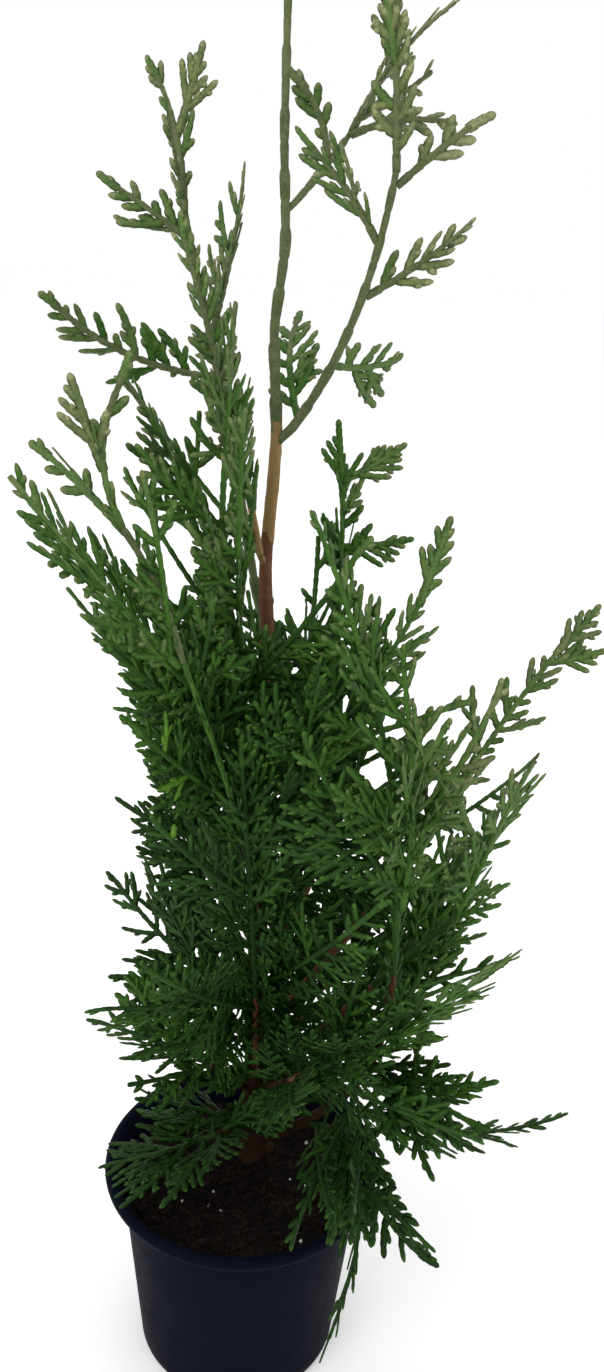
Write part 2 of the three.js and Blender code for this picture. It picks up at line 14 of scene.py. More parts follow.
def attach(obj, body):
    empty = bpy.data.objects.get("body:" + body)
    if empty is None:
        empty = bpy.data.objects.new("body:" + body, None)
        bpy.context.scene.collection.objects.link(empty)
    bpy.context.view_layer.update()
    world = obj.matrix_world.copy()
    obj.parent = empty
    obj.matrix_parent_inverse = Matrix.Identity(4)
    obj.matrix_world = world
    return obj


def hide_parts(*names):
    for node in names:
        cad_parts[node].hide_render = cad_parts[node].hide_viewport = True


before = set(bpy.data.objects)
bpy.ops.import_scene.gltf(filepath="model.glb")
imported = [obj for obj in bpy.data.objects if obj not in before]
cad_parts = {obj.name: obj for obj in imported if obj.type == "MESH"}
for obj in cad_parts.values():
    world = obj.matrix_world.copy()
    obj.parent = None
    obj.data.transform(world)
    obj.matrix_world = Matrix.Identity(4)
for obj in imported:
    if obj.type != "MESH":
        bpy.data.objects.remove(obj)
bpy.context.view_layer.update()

MM = 0.001

# Pot and soil, as in the solids
POT_HEIGHT = 102
RIM_BEAD = 3
RIM_MIDDLE = 62
RIM_INNER = 60.5
RIM_FOOT = 96
WALL_TOP = 57
WALL_FOOT = 48
WALL = 1.6
FLOOR = 2
DRAIN_HOLES = 6
DRAIN_RADIUS = 4
DRAIN_CIRCLE = 36
SOIL_TOP = 87.7
GAP = 0.3

# Trunk line: height, x, y, radius
TRUNK_FOOT = SOIL_TOP + GAP
TRUNK_LINE = np.array([
    (TRUNK_FOOT, 6, 18, 9),
    (94, 5.5, 17.5, 6.4),
    (108, 5, 17, 5.4),
    (200, 4, 15, 4.3),
    (300, 3.5, 15, 3.3),
    (360, 3.2, 14, 2.8),
    (388, 1.4, 14, 2.6),
    (410, 2.6, 13, 2.5),
    (440, 4.2, 13, 2.4),
    (480, 1.6, 12, 1.9),
    (510, 5, 12, 1.9),
    (545, 3, 11, 1.6),
    (600, 2.5, 10, 1.3),
])
TRUNK_SIDES = 10

# name, carrier, distance, heading, rise, length, sweep, bend, foot radius, tip radius
BOUGHS = [
    ("bough_front_left", "trunk", 122, 269, 62, 182, -47, 5, 2.4, 1.5),
    ("bough_front_left_upper", "bough_front_left", 182, 192, 76, 50, -11, -20, 1.4, 1.1),
    ("bough_left_tall", "trunk", 278, 135, 74, 162, 5, -2, 2, 1.2),
    ("bough_left_middle", "trunk", 233, 241, 66, 114, -21, 5, 1.8, 1.2),
    ("bough_upper_right", "trunk", 353, 329, 51, 105, -26, 27, 1.9, 1.2),
    ("bough_leader_side", "trunk", 436, 21, 47, 35, 8, 4, 1.4, 1.1),
    ("bough_right_back", "trunk", 113, 32, 49, 160, 80, 27, 2.3, 1.4),
    ("bough_right_front", "trunk", 10, 337, 42, 217, -98, 48, 3, 1.6),
    ("bough_far_right", "trunk", 73, 26, 44, 119, -12, 9, 2.2, 1.4),
    ("bough_right", "trunk", 44, 337, 57, 146, -11, -5, 2.2, 1.4),
    ("bough_back_left", "trunk", 90, 120, 55, 129, 43, 18, 2.3, 1.3),
]
BOUGH_SIDES = 5

# name, carrier, distance, heading, rise, length, sweep, bend, face, reach, bare, side twigs
MASSES = [
    ("leader_tip", "trunk", 513, 100, 88, 42, 0, 0, 75, 9, 3, 0),
    ("leader_side_tip", "bough_leader_side", 40, 33, 61, 65, 1, -29, 153, 14, 3, 1),
    ("leader_side_left", "bough_leader_side", 22, 169, 84, 24, 16, -36, -79, 9, 4, 0),
    ("leader_side_right", "bough_leader_side", 34, -19, 23, 35, 12, -31, -126, 11, 4, 0),
    ("upper_right_tip", "bough_upper_right", 105, 294, 98, 51, 16, -3, -73, 11, 4, 1),
    ("upper_right_high", "bough_upper_right", 101, 355, 43, 29, 8, -7, -109, 11, 3, 0),
    ("upper_right_low", "bough_upper_right", 63, -1, 31, 36, -30, 8, 42, 14, 4, 0),
    ("upper_right_left", "bough_upper_right", 82, 184, 59, 36, -11, -18, 44, 21, 3, 0),
    ("fork_right", "bough_upper_right", 34, 45, -8, 33, 3, 17, 99, 16, 5, 0),
    ("fork_sprig", "bough_upper_right", 9, 109, 49, 53, -35, -22, -12, 18, 3, 0),
    ("left_tall_tip", "bough_left_tall", 162, 139, 89, 51, 7, -32, -101, 12, 3, 1),
    ("left_tall_high", "bough_left_tall", 153, 180, 36, 32, -5, -8, 118, 13, 3, 1),
    ("left_tall_inner", "bough_left_tall", 117, 26, 73, 54, 0, 10, -3, 24, 3, 1),
    ("left_tall_outer", "bough_left_tall", 98, 201, 6, 75, 32, 30, -105, 21, 5, 0),
    ("left_tall_lower", "trunk", 303, 248, 65, 129, -30, 5, 28, 21, 4, 4),
    ("left_green", "bough_left_middle", 105, 206, 66, 53, 5, -13, -41, 25, 3, 2),
    ("left_middle_front", "bough_left_middle", 56, 243, 63, 110, 65, 25, 33, 40, 3, 3),
    ("far_left_fan", "bough_front_left", 180, 213, 48, 86, -32, 5, -41, 30, 3, 1),
    ("front_left_tip", "bough_front_left_upper", 50, 177, 67, 50, -169, -1, 62, 12, 5, 0),
    ("left_outer", "bough_front_left_upper", 48, 145, 35, 39, 3, -5, -80, 10, 3, 1),
    ("front_left_inner", "bough_front_left", 86, 329, 54, 122, 38, 11, -58, 40, 3, 5),
    ("front_left_outer", "bough_front_left", 74, 219, 72, 126, -52, 1, -87, 40, 4, 5),
    ("centre_front", "trunk", 195, 247, 66, 176, 28, 10, 35, 37, 8, 6),
    ("left_dark", "trunk", 128, 147, 40, 82, -9, 23, -58, 40, 8, 4),
    ("front_low_left", "trunk", 55, 270, 68, 196, -24, 11, 10, 40, 26, 7),
    ("front_low_right", "trunk", 44, 291, 41, 180, 54, 9, -31, 40, 28, 7),
    ("low_left_light", "trunk", 68, 247, 60, 107, -42, -48, -105, 36, 14, 3),
    ("low_left_long", "trunk", 41, 217, 59, 84, -60, -58, -90, 32, 14, 3),
    ("low_left_up", "trunk", 85, 164, 29, 85, -21, 8, -67, 40, 10, 4),
    ("droop_left", "trunk", 24, 237, 18, 71, -64, -39, 3, 36, 8, 2),
    ("right_back_tip", "bough_right_back", 178, 84, 91, 83, -58, 3, 78, 19, 3, 3),
    ("right_dark", "trunk", 155, -19, 45, 118, 25, 46, 90, 40, 8, 5),
    ("right_front_tip", "bough_right_front", 226, 344, 98, 135, 47, 18, 118, 26, 3, 1),
    ("right_front_side", "bough_right_front", 198, 290, 79, 105, -106, 1, 40, 40, 3, 4),
    ("far_right_tip", "bough_far_right", 122, -10, 69, 110, 4, -11, 76, 25, 3, 1),
    ("right_tip", "bough_right", 146, 334, 74, 71, -6, -2, -30, 37, 3, 2),
    ("right_middle", "bough_right", 78, 24, 34, 97, 17, 13, 48, 37, 3, 4),
    ("right_low", "bough_right_front", 137, 54, -20, 80, 29, 96, 0, 13, 3, 2),
    ("right_low_front", "bough_right_front", 101, 307, 6, 53, 10, -4, 54, 33, 3, 3),
    ("right_far_low", "bough_right_front", 56, 12, -40, 112, -7, 58, -11, 22, 4, 1),
    ("droop_front_right", "bough_right_front", 34, 305, 36, 126, -68, -79, 71, 27, 8, 2),
    ("droop_right", "bough_right_front", 72, 269, -56, 76, 72, 24, 24, 25, 12, 2),
    ("back_left_tip", "bough_back_left", 140, 133, 84, 84, 17, -5, -31, 38, 3, 3),
    ("back_left_low", "bough_back_left", 50, 95, 30, 112, 40, 22, 8, 40, 4, 4),
    ("back_right_tip", "trunk", 195, 58, 44, 122, 30, 34, -5, 36, 10, 5),
    ("back_low", "trunk", 50, 30, 40, 126, 30, 44, 31, 40, 12, 5),
]
STEM_FOOT = 1.05
STEM_SIDES = 3
PATH_STEPS = 24

# How far stems and boughs start inside what carries them, and the share of the way that those on the
# trunk go towards its middle
STEM_SINK = 1.4
BOUGH_SINK = 2.8
ROOTED = 0.6

# The source's rule for its blades, each of which gives way to several sprays here
BLADE_STEP = 13
BLADE_ANGLE = 50
BLADE_ANGLE_TIP = 36
BLADE_TILT = 20
FULLEST = 0.3
FOOT_SHARE = 0.55
TIP_SHARE = 0.2
SHORTEST_BLADE = 6
TIP_BLADE = 10.5
BLADE_FALL = 1.2
BLADE_VARIES = (0.86, 0.28)

# The source's rule for the side twigs of a mass
TWIG_FIRST = 0.35
TWIG_LAST = 0.7
TWIG_SHARE = 0.62
TWIG_ANGLE = 40
TWIG_TILT = 60
TWIG_CURL = 0.22
TWIG_REACH = 0.62
TWIG_BARE = 4
TWIG_STEP = 20
TWIG_DRIFT = 0.5
TWIG_TILT_VARIES = (0.4, 0.6)
TWIG_VARIES = (0.8, 0.35)
TWIG_SEED = 201
TWIG_BLADE_SEED = 301
MOST_TWIGS = 7

# Where each twig is tested, and how many of these places may be seen in a gap before it is left out
TWIG_SAMPLES = np.linspace(0.15, 1, 6)
TWIG_MOST_HIDDEN = 2

# Ranks of sprays: hand, lean out of the flat plane, spacing and size. The leaning ranks end early.
FLAT_RANKS = [(1, 0, 1, 1), (-1, 0, 1, 1)]
LEANING_RANKS = [(1, 55, 1.5, 0.7), (-1, -55, 1.5, 0.7), (-1, 60, 1.5, 0.7), (1, -60, 1.5, 0.7)]
BUSHY_RANKS = FLAT_RANKS + LEANING_RANKS
BUSHY_TO = 0.72
BUSHY_TWIGS = 3

# Sprays: the bare end of a stem, how much their tilt, roll and angle vary, and what they add to the
# blades' angle and curl
RANK_END = 3
SPRAY_TILT = 16
SPRAY_ROLL = 26
SPRAY_SWING = 20
SPRAY_LEAN = 11
SPRAY_CURL = 0.42

# Where the ranks start, in shares of the distance between sprays
RANK_START = 0.25
RANK_SHIFT = 0.5

# How uneven sprays, fingers and nubs and their distances are: the least share of the value given for
# them, and what chance adds to it
SPRAY_VARIES = (0.66, 0.5)
SPRAY_PITCH_VARIES = (0.72, 0.5)
FINGER_VARIES = (0.72, 0.5)
FINGER_PITCH_VARIES = (0.8, 0.45)
FIRST_FINGER_VARIES = (0.8, 0.5)
NUB_PITCH_VARIES = (0.85, 0.5)
FIRST_NUB_VARIES = (0.8, 0.4)

# Where a spray is tested, from its foot to its tip
SPRAY_SAMPLES = np.linspace(0.25, 1, 5)

# The spray that ends each stem: how far back it starts, and its curl
TIP_SPRAY_SINK = 1.5
TIP_SPRAY_CURL = 0.3

# How far apart sprays stand, which masses are sparse by their reach or airy by their twigs, and how much
# longer the sprays of the sparse ones are
DENSE_PITCH = 9
OPEN_PITCH = 8.5
OPEN_REACH = 20
OPEN_TWIGS = 2
SPARSE_GROWTH = 1.25

# A shoot's half width and half thickness, and how much wider it is on some of the masses
FINGER_HALF = 1.4
FINGER_THICK = 0.38
SPARSE_HALF = 1.3
AIRY_HALF = 1.15
SPRIG_HALF = 1.2

# Fingers of a spray
FINGER_SLIMNESS = 0.9
FINGER_PITCH = 2.8
FINGER_ANGLE = 42
FINGER_ANGLE_TIP = 28
FINGER_SWING = 10
FINGER_TWIST = 0.2
FINGER_SHARE = 0.6
FINGER_CURL = 0.2
FINGER_LIFT = 0.4
FIRST_FINGER = 3.4
BARE_FOOT = 0.2
LONGEST_FINGER = 15
SHORTEST_FINGER = 3

# What is left of a finger whose tip is seen in a gap
CUT_BACK = 0.6

# Nubs of a finger
NUB_PITCH = 4
NUB_FROM = 6.4
NUB_END = 2.6
NUB_FORWARD = 0.82
NUB_ASIDE = 0.57
NUB_LENGTH = 2.2
NUB_SHARE = 0.34
NUB_CURL = 0.1
NUB_SLIMNESS = 0.82

# A shoot's scale leaves: their length, the most there are, and each one's foot and shoulder
SCALE_LENGTH = 3.4
MOST_SCALES = 14
SCALE_PLACES = (0.06, 0.82)
SCALE_WIDTHS = (0.84, 1.0)
ROOT_WIDTH = 0.85
# The rings that close the last scale leaf: its share that is left beyond each, and their widths
TIP_LEFT = (0.5, 0.24, 0.07)
TIP_WIDTHS = (0.96, 0.76, 0.4)
TIP_RINGS = 3
# How much wider a shoot is at its foot than its half width says, and what it loses towards its tip
SWELL = 1.14
SWELL_LOSS = 0.24
# A shoot's thickness: the least of it, and what its width adds
THICK_LEAST = 0.55
THICK_MORE = 0.45

# Stems: half widths at the foot and the tip, how far past their bare foot those on the trunk are woody,
# and the corners, scale leaves and flatness that their rings have
TRUNK_STEM = 1.5
MASS_STEM = 1.4
MASS_STEM_TIP = 1.1
TWIG_STEM = 1.15
TWIG_STEM_TIP = 1.0
WOODY_PAST_BARE = 0.16
STEM_ROUND = 8
FEWEST_STEM_SCALES = 3
STEM_SCALE = 4.6
STEM_SCALE_FULL = 0.8
STEM_NECK = 0.78
STEM_SWELL = 1.15
STEM_FLATNESS = 0.42
CLOTHING = 0.12

# Heights where bark turns from dark to red and to tan, and where green shoots turn olive
# Stems and boughs below the first height take the dark bark, whose colour paints the shade under the
# crown
SHADED_BARK_TO = 150
RED_TO = 330
OLIVE_FROM = 400
OLIVE_STEM_FROM = 460
BARK_SWING = 30

# The height where the trunk's bark ends, and how unevenly its bands of colour meet
TRUNK_BARK_TO = 446
BAND_DRIFT = 0.018

# What starts the chance of sprays on boughs, of single sprigs and of what lies on the soil
BOUGH_SEED = 400
SPRIG_SEED = 500
SOIL_SEED = 7

# Room kept between sprays and the pot, and between sprays and the trunk
POT_ROOM = 1
BARK_ROOM = 0.5

# The trunk's bare stretch, which no spray hides. The camera looks down, so what a spray hides on the
# trunk lies lower, by a share of how far ahead of the trunk's back it is.
WINDOW_LOW = 364
WINDOW_HIGH = 446
WINDOW_BACK = 15
WINDOW_MIDDLE = 3.5
WINDOW_HALF = 6
WINDOW_SLOPE = 0.35

# Camera and its photograph: the place it looks from, its angles and its focal length in pixels
PHOTO_WIDTH = 604
PHOTO_HEIGHT = 1372
CAMERA_PLACE = (0, -440, 505)
CAMERA_YAW = 2.35
CAMERA_PITCH = 20.3
CAMERA_ROLL = 2.71
FOCAL_PIXELS = 1150
SENSOR = 36

# Gaps in the crown as that camera sees them, in its picture's pixels: both ends and half the width
OPENINGS = np.array([
    (389, 88, 391, 86, 7.4), (180, 108, 172, 83, 7), (385, 145, 377, 140, 11.5),
    (423, 181, 482, 172, 10.6), (147, 202, 150, 192, 5.3), (272, 245, 266, 153, 11.7),
    (381, 244, 403, 195, 6.3), (183, 313, 163, 252, 11.7), (88, 308, 63, 266, 5.3),
    (132, 314, 139, 262, 8.5), (109, 322, 105, 272, 5.7), (245, 329, 245, 269, 8.4),
    (82, 378, 107, 366, 10.7), (262, 428, 260, 350, 7.3), (186, 406, 157, 383, 11.3),
    (179, 426, 150, 386, 9.5), (204, 429, 178, 384, 4.5), (297, 438, 338, 387, 10.5),
    (193, 436, 158, 400, 5.3), (117, 448, 134, 398, 4.3), (351, 453, 350, 403, 9.5),
    (111, 467, 122, 418, 7.9), (32, 472, 6, 431, 6.7), (119, 456, 111, 448, 9.4),
    (79, 476, 68, 448, 6.1), (4, 479, 0, 478, 9.5), (221, 492, 212, 477, 11.7),
    (334, 508, 311, 461, 8.3), (102, 498, 94, 474, 4.3), (218, 508, 212, 497, 6.1),
    (388, 527, 413, 484, 12.3), (129, 517, 123, 509, 6.6), (115, 533, 83, 503, 5.3),
    (344, 545, 340, 521, 3.9), (167, 548, 179, 535, 9.8), (182, 569, 172, 539, 11.1),
    (132, 560, 126, 550, 4.4), (310, 573, 314, 545, 7.3), (169, 579, 177, 540, 11.3),
    (283, 595, 304, 546, 10.3), (319, 609, 311, 537, 4.8), (376, 578, 367, 571, 12.3),
    (334, 581, 333, 573, 4.3), (177, 597, 162, 558, 6.3), (245, 585, 249, 579, 7.3),
    (429, 618, 455, 573, 6.1), (15, 598, 67, 594, 11.5), (256, 602, 255, 594, 3.9),
    (325, 625, 325, 603, 3.9), (152, 628, 145, 621, 3.9), (311, 642, 301, 614, 4.4),
    (484, 705, 500, 658, 5.3), (438, 694, 420, 686, 10.3), (422, 710, 459, 674, 3.9),
    (342, 707, 345, 702, 4.8), (456, 730, 461, 713, 5.3), (386, 727, 378, 726, 6.3),
    (436, 733, 438, 732, 5.4), (487, 742, 488, 730, 6.6), (513, 748, 537, 734, 8.4),
    (461, 751, 467, 743, 6.4), (520, 767, 517, 739, 6.1), (448, 767, 446, 761, 5.3),
    (378, 776, 375, 760, 11.3), (135, 787, 123, 749, 10.9), (502, 781, 499, 761, 5.7),
    (473, 796, 485, 789, 6.6), (490, 804, 484, 785, 5.3), (475, 826, 473, 806, 4.3),
    (556, 836, 508, 835, 5.3), (439, 856, 439, 840, 6.3), (140, 926, 142, 912, 4.3),
    (493, 943, 536, 901, 10.9), (108, 948, 74, 915, 10.1), (158, 942, 155, 924, 7),
    (130, 950, 85, 933, 4.3), (467, 974, 476, 948, 4.4), (98, 1078, 149, 1066, 4.8),
    (114, 1109, 123, 1083, 11.3), (457, 1114, 503, 1109, 5.3), (440, 72, 484, 38, 11.5),
    (463, 126, 483, 79, 4.8), (309, 133, 300, 113, 5.3), (203, 230, 203, 156, 10.1),
    (229, 224, 220, 169, 4.3), (380, 250, 398, 201, 6.1), (331, 265, 338, 215, 11.6),
    (174, 272, 139, 239, 11.3), (69, 292, 86, 245, 11.5), (263, 301, 270, 237, 12.3),
    (348, 339, 362, 312, 3.9), (245, 367, 244, 341, 4.3), (91, 407, 84, 371, 10.5),
    (110, 394, 109, 392, 5.3), (204, 406, 193, 392, 3.5), (204, 429, 183, 386, 4.4),
    (297, 442, 336, 388, 11.7), (138, 466, 109, 436, 4.5), (79, 479, 64, 431, 5.3),
    (220, 494, 216, 472, 10.1), (222, 493, 209, 481, 10.5), (217, 508, 216, 466, 6.3),
    (65, 508, 64, 498, 4.3), (147, 529, 134, 514, 3.9), (0, 536, 19, 525, 6.3),
    (344, 549, 342, 521, 3.9), (310, 578, 312, 536, 7.3), (169, 579, 172, 539, 11.5),
    (183, 569, 167, 554, 10.6), (319, 608, 315, 578, 6.1), (255, 600, 255, 590, 4.3),
    (13, 603, 66, 594, 11.7), (152, 627, 147, 624, 4.3), (551, 651, 568, 604, 6.1),
    (312, 641, 297, 618, 4.3), (393, 638, 390, 626, 2.5), (296, 670, 296, 670, 5.7),
    (58, 684, 105, 663, 11.1), (514, 685, 516, 677, 5.7), (447, 691, 423, 677, 11.5),
    (391, 694, 395, 682, 3.3), (99, 733, 99, 661, 11.3), (539, 702, 589, 700, 7.3),
    (515, 705, 516, 703, 4.4), (381, 727, 379, 725, 7.3), (396, 737, 393, 729, 3.9),
    (486, 740, 489, 730, 7), (425, 739, 427, 736, 3.9), (462, 754, 474, 733, 3.5),
    (469, 763, 467, 739, 3.3), (379, 776, 374, 759, 11.1), (435, 787, 433, 787, 4.8),
    (439, 856, 441, 836, 5.3), (341, 855, 345, 837, 3.3), (489, 856, 537, 854, 3.5),
    (98, 898, 69, 845, 11.1), (479, 879, 481, 879, 4.8), (507, 913, 532, 872, 7.5),
    (144, 915, 143, 913, 6), (119, 933, 76, 911, 5.3), (159, 942, 155, 924, 7),
    (465, 975, 478, 948, 4.4), (443, 974, 452, 967, 3.1), (433, 990, 435, 988, 4.8),
    (234, 1015, 234, 1015, 5.7), (397, 1055, 407, 1053, 3.3), (148, 1084, 170, 1067, 3.1),
    (466, 1115, 456, 1114, 5.3),
])

# Stretches of fresh yellow-green growth, given in the same way
FRESH_GROWTH = np.array([(164, 727, 172, 790, 6), (174, 790, 178, 850, 3), (207, 858, 203, 920, 4)])


def unit(vectors):
    return vectors / np.linalg.norm(vectors, axis=-1, keepdims=True)


def turns_of(count):
    """Even turns round a circle."""
    return np.arange(count) / count * 2 * math.pi


def leaning(first, second, degrees):
    """The first direction, leant towards the second."""
    angle = math.radians(degrees)
    return first * math.cos(angle) + second * math.sin(angle)


def turned(vector, axis, angle):
    """A vector turned about an axis."""
    level, lift = math.cos(angle), math.sin(angle)
    return vector * level + np.cross(axis, vector) * lift + axis * (axis @ vector) * (1 - level)


def within(draw, least, more):
    """The number that a draw from 0 to 1 stands for, from least to least + more."""
    return least + more * draw


def varied(random, least, more):
    """A drawn number from least to least + more."""
    return within(random.random(), least, more)


def swung(random, width):
    """A drawn number to either side of zero."""
    return width * (random.random() - 0.5)


def drawn_hand(random):
    return 1 if random.random() < 0.5 else -1


def seeded(seed):
    """The source's own run of numbers from 0 to 1."""
    state = seed
    while True:
        state = state * 16807 % 2147483647
        yield state / 2147483647


def smooth(low, high, value):
    share = np.clip((value - low) / (high - low), 0, 1)
    return share * share * (3 - 2 * share)


NOISE_STEPS = np.array([374761393, 668265263, 1440662683])
NOISE_MIX = 1274126177


def lattice_noise(points, seed=0):
    """Smooth noise from -1 to 1 at each point, with one cell to a unit."""
    cell = np.floor(points).astype(np.int64)
    part = points - cell
    fade = part * part * (3 - 2 * part)
    total = np.zeros(len(points))
    for corner in itertools.product((0, 1), repeat=3):
        spot = cell + np.array(corner)
        mixed = spot @ NOISE_STEPS + seed * NOISE_MIX
        mixed = (mixed ^ (mixed >> 13)) * NOISE_MIX
        value = ((mixed ^ (mixed >> 16)) & 0xFFFF) / 0xFFFF
        weight = np.where(corner, fade, 1 - fade).prod(axis=1)
        total += weight * value
    return 2 * total - 1


def layered_noise(points, layers=3, seed=0):
    return sum(lattice_noise(points * 2**i, seed + i) / 2**i for i in range(layers))


def between(place, places, points):
    """The point at a place along a line of points whose places are given."""
    return np.stack([np.interp(place, places, points[:, i]) for i in range(3)], axis=-1)


class Limb:
    """The line of a limb, which turns by sweep and bend over its length."""

    def __init__(self, heading, rise, length, sweep, bend, face=0):
        self.heading, self.rise, self.length = heading, rise, length
        self.sweep, self.bend, self.face = sweep, bend, face
        steps = self.direction((np.arange(PATH_STEPS) + 0.5) / PATH_STEPS) * length / PATH_STEPS
        self.path = np.vstack([np.zeros(3), np.cumsum(steps, axis=0)])
        self.start = np.zeros(3)

    def direction(self, share):
        azimuth = np.radians(self.heading + self.sweep * share)
        rise = np.radians(self.rise + self.bend * share)
        level = np.cos(rise)
        return np.stack([level * np.cos(azimuth), level * np.sin(azimuth), np.sin(rise)], axis=-1)

    def point(self, share):
        return self.start + between(share, np.linspace(0, 1, PATH_STEPS + 1), self.path)

    def frame(self, share):
        """Along the limb, across it and square to both, at each share of its length."""
        share = np.asarray(share, float)
        along = self.direction(share)
        azimuth = np.radians(self.heading + self.sweep * share)
        level = np.stack([-np.sin(azimuth), np.cos(azimuth), 0 * azimuth], axis=-1)
        up = np.cross(along, level)
        return along, leaning(level, up, self.face), leaning(up, -level, self.face)


class Trunk:
    """The trunk's line from its flat cut to the top of the shoot."""

    def __init__(self):
        self.points = TRUNK_LINE[:, [1, 2, 0]]
        steps = np.linalg.norm(np.diff(self.points, axis=0), axis=1)
        self.lengths = np.concatenate([[0], np.cumsum(steps)])
        self.length = self.lengths[-1]

    def point(self, share):
        return between(share * self.length, self.lengths, self.points)

    def frame(self, share):
        after = np.clip(np.searchsorted(self.lengths, share * self.length), 1, len(self.points) - 1)
        along = unit(self.points[after] - self.points[after - 1])
        return along, np.array([1.0, 0, 0]), np.array([0, 1.0, 0])

    def radius(self, share):
        return np.interp(share * self.length, self.lengths, TRUNK_LINE[:, 3])


def ring_reach(side, normal, radius, sides, direction):
    """How far a ring's outline lies from its middle in one direction, with a corner on its normal."""
    turn = math.atan2(-(direction @ side), direction @ normal)
    step = 2 * math.pi / sides
    return radius * math.cos(step / 2) / math.cos(turn % step - step / 2)


def seat(limb, carrier, reach_at, at, radius, sides):
    """Starts a limb beside its carrier, or past the carrier's tip, just clear of it."""
    share = min(at / carrier.length, 1)
    along = carrier.frame(share)[0]
    outward, side, normal = limb.frame(0)
    turns = turns_of(sides)
    corners = radius * (np.outer(np.cos(turns), normal) - np.outer(np.sin(turns), side))
    limb.start = carrier.point(share)
    if share == 1:
        limb.start = limb.start + outward * (GAP - (corners @ along).min()) / (outward @ along)
        return limb
    sideways = unit(outward - along * (outward @ along))
    clear = GAP - (corners @ sideways).min()
    limb.start = limb.start + sideways * (reach_at(share, sideways) + clear)
    return limb


def grow_limbs():
    """Every bough's and mass's line, seated as in the solids."""
    trunk = Trunk()
    lines = {"trunk": trunk}
    reaches = {}
    reaches["trunk"] = lambda share, way: ring_reach(
        np.array([0, -1.0, 0]), np.array([1.0, 0, 0]), trunk.radius(share), TRUNK_SIDES, way)
    for name, on, at, heading, rise, length, sweep, bend, foot, tip in BOUGHS:
        limb = Limb(heading, rise, length, sweep, bend)
        seat(limb, lines[on], reaches[on], at, foot, BOUGH_SIDES)
        lines[name] = limb
        reaches[name] = lambda share, way, limb=limb, foot=foot, tip=tip: ring_reach(
            *limb.frame(share)[1:], foot + (tip - foot) * share, BOUGH_SIDES, way)
    for name, on, at, heading, rise, length, sweep, bend, face, *_ in MASSES:
        limb = Limb(heading, rise, length, sweep, bend, face)
        lines[name] = seat(limb, lines[on], reaches[on], at, STEM_FOOT, STEM_SIDES)
    return lines


LINES = grow_limbs()


def trunk_at(height):
    """The trunk's x, y and radius at each height."""
    return [np.interp(height, TRUNK_LINE[:, 0], TRUNK_LINE[:, i]) for i in (1, 2, 3)]


def in_the_way(points):
    """Whether any point lies in the pot, the soil or the trunk, or hides the trunk's bare stretch."""
    x, y, z = points.T
    out = np.hypot(x, y)
    at_wall = out > WALL_TOP - 2 * POT_ROOM
    wall = WALL_FOOT + (WALL_TOP - WALL_FOOT) * z / POT_HEIGHT + POT_ROOM
    rim = (z > RIM_FOOT - 2 * POT_ROOM) & (z < POT_HEIGHT + POT_ROOM) & at_wall
    rim &= out < RIM_MIDDLE + RIM_BEAD + POT_ROOM
    body = (z < RIM_FOOT) & (out < wall) & ((z < SOIL_TOP + POT_ROOM) | at_wall)
    trunk_x, trunk_y, radius = trunk_at(z)
    trunk = (z < TRUNK_LINE[-1, 0]) & (np.hypot(x - trunk_x, y - trunk_y) < radius + BARK_ROOM)
    ahead = np.clip(WINDOW_BACK - y, 0, None)
    seen = z - WINDOW_SLOPE * ahead
    window = (ahead > 0) & (np.abs(x - WINDOW_MIDDLE) < WINDOW_HALF)
    window &= (seen > WINDOW_LOW) & (seen < WINDOW_HIGH)
    return bool((rim | body | trunk | window).any())


def camera_axes():
    """The camera's right, up and forward directions."""
    yaw, pitch = math.radians(CAMERA_YAW), math.radians(CAMERA_PITCH)
    level = math.cos(pitch)
    forward = np.array([math.sin(yaw) * level, math.cos(yaw) * level, -math.sin(pitch)])
    right = unit(np.cross(forward, (0, 0, 1)))
    up = np.cross(right, forward)
    return leaning(right, up, CAMERA_ROLL), leaning(up, -right, CAMERA_ROLL), forward


RIGHT, UP, FORWARD = camera_axes()


def seen_in(points, stretches):
    """Whether each point is seen in one of the stretches of the picture."""
    away = points - np.array(CAMERA_PLACE)
    scale = FOCAL_PIXELS / (away @ FORWARD)
    across, down = PHOTO_WIDTH / 2 + scale * (away @ RIGHT), PHOTO_HEIGHT / 2 - scale * (away @ UP)
    start, span = stretches[:, :2], stretches[:, 2:4] - stretches[:, :2]
    apart = np.stack([across, down], axis=-1)[:, None] - start
    share = np.clip((apart * span).sum(axis=-1) / np.maximum((span**2).sum(axis=-1), 1), 0, 1)
    off = np.linalg.norm(apart - share[..., None] * span, axis=-1)
    return (off < stretches[:, 4]).any(axis=1)


def in_a_gap(points):
    return seen_in(points, OPENINGS)


# Materials

def linear(red, green, blue):
    """A colour in linear light from the 0 to 255 values that a screen shows."""
    share = np.array([red, green, blue]) / 255
    value = np.where(share <= 0.04045, share / 12.92, ((share + 0.055) / 1.055) ** 2.4)
    return (*value, 1)


COLOUR = "NodeSocketColor"
NUMBER = "NodeSocketFloat"


def effect(name, inputs, outputs):
    """An empty node group with sockets of given names and kinds, and its input and output nodes."""
    tree = bpy.data.node_groups.new(name, "ShaderNodeTree")
    for way, sockets in (("INPUT", inputs), ("OUTPUT", outputs)):
        for label, kind in sockets.items():
            tree.interface.new_socket(label, in_out=way, socket_type=kind)
    return tree, tree.nodes.new("NodeGroupInput"), tree.nodes.new("NodeGroupOutput")


def node(tree, kind, links=(), **values):
    """A node with its settings, and links from sockets to its inputs by name or number."""
    made = tree.nodes.new(kind)
    for label, value in values.items():
        setattr(made, label, value)
    for label, source in links:
        if isinstance(source, bpy.types.NodeSocket):
            tree.links.new(source, made.inputs[label])
        else:
            made.inputs[label].default_value = source
    return made


def maths(tree, operation, *values):
    """What a Math node makes of sockets and numbers."""
    return node(tree, "ShaderNodeMath", list(enumerate(values)), operation=operation).outputs[0]


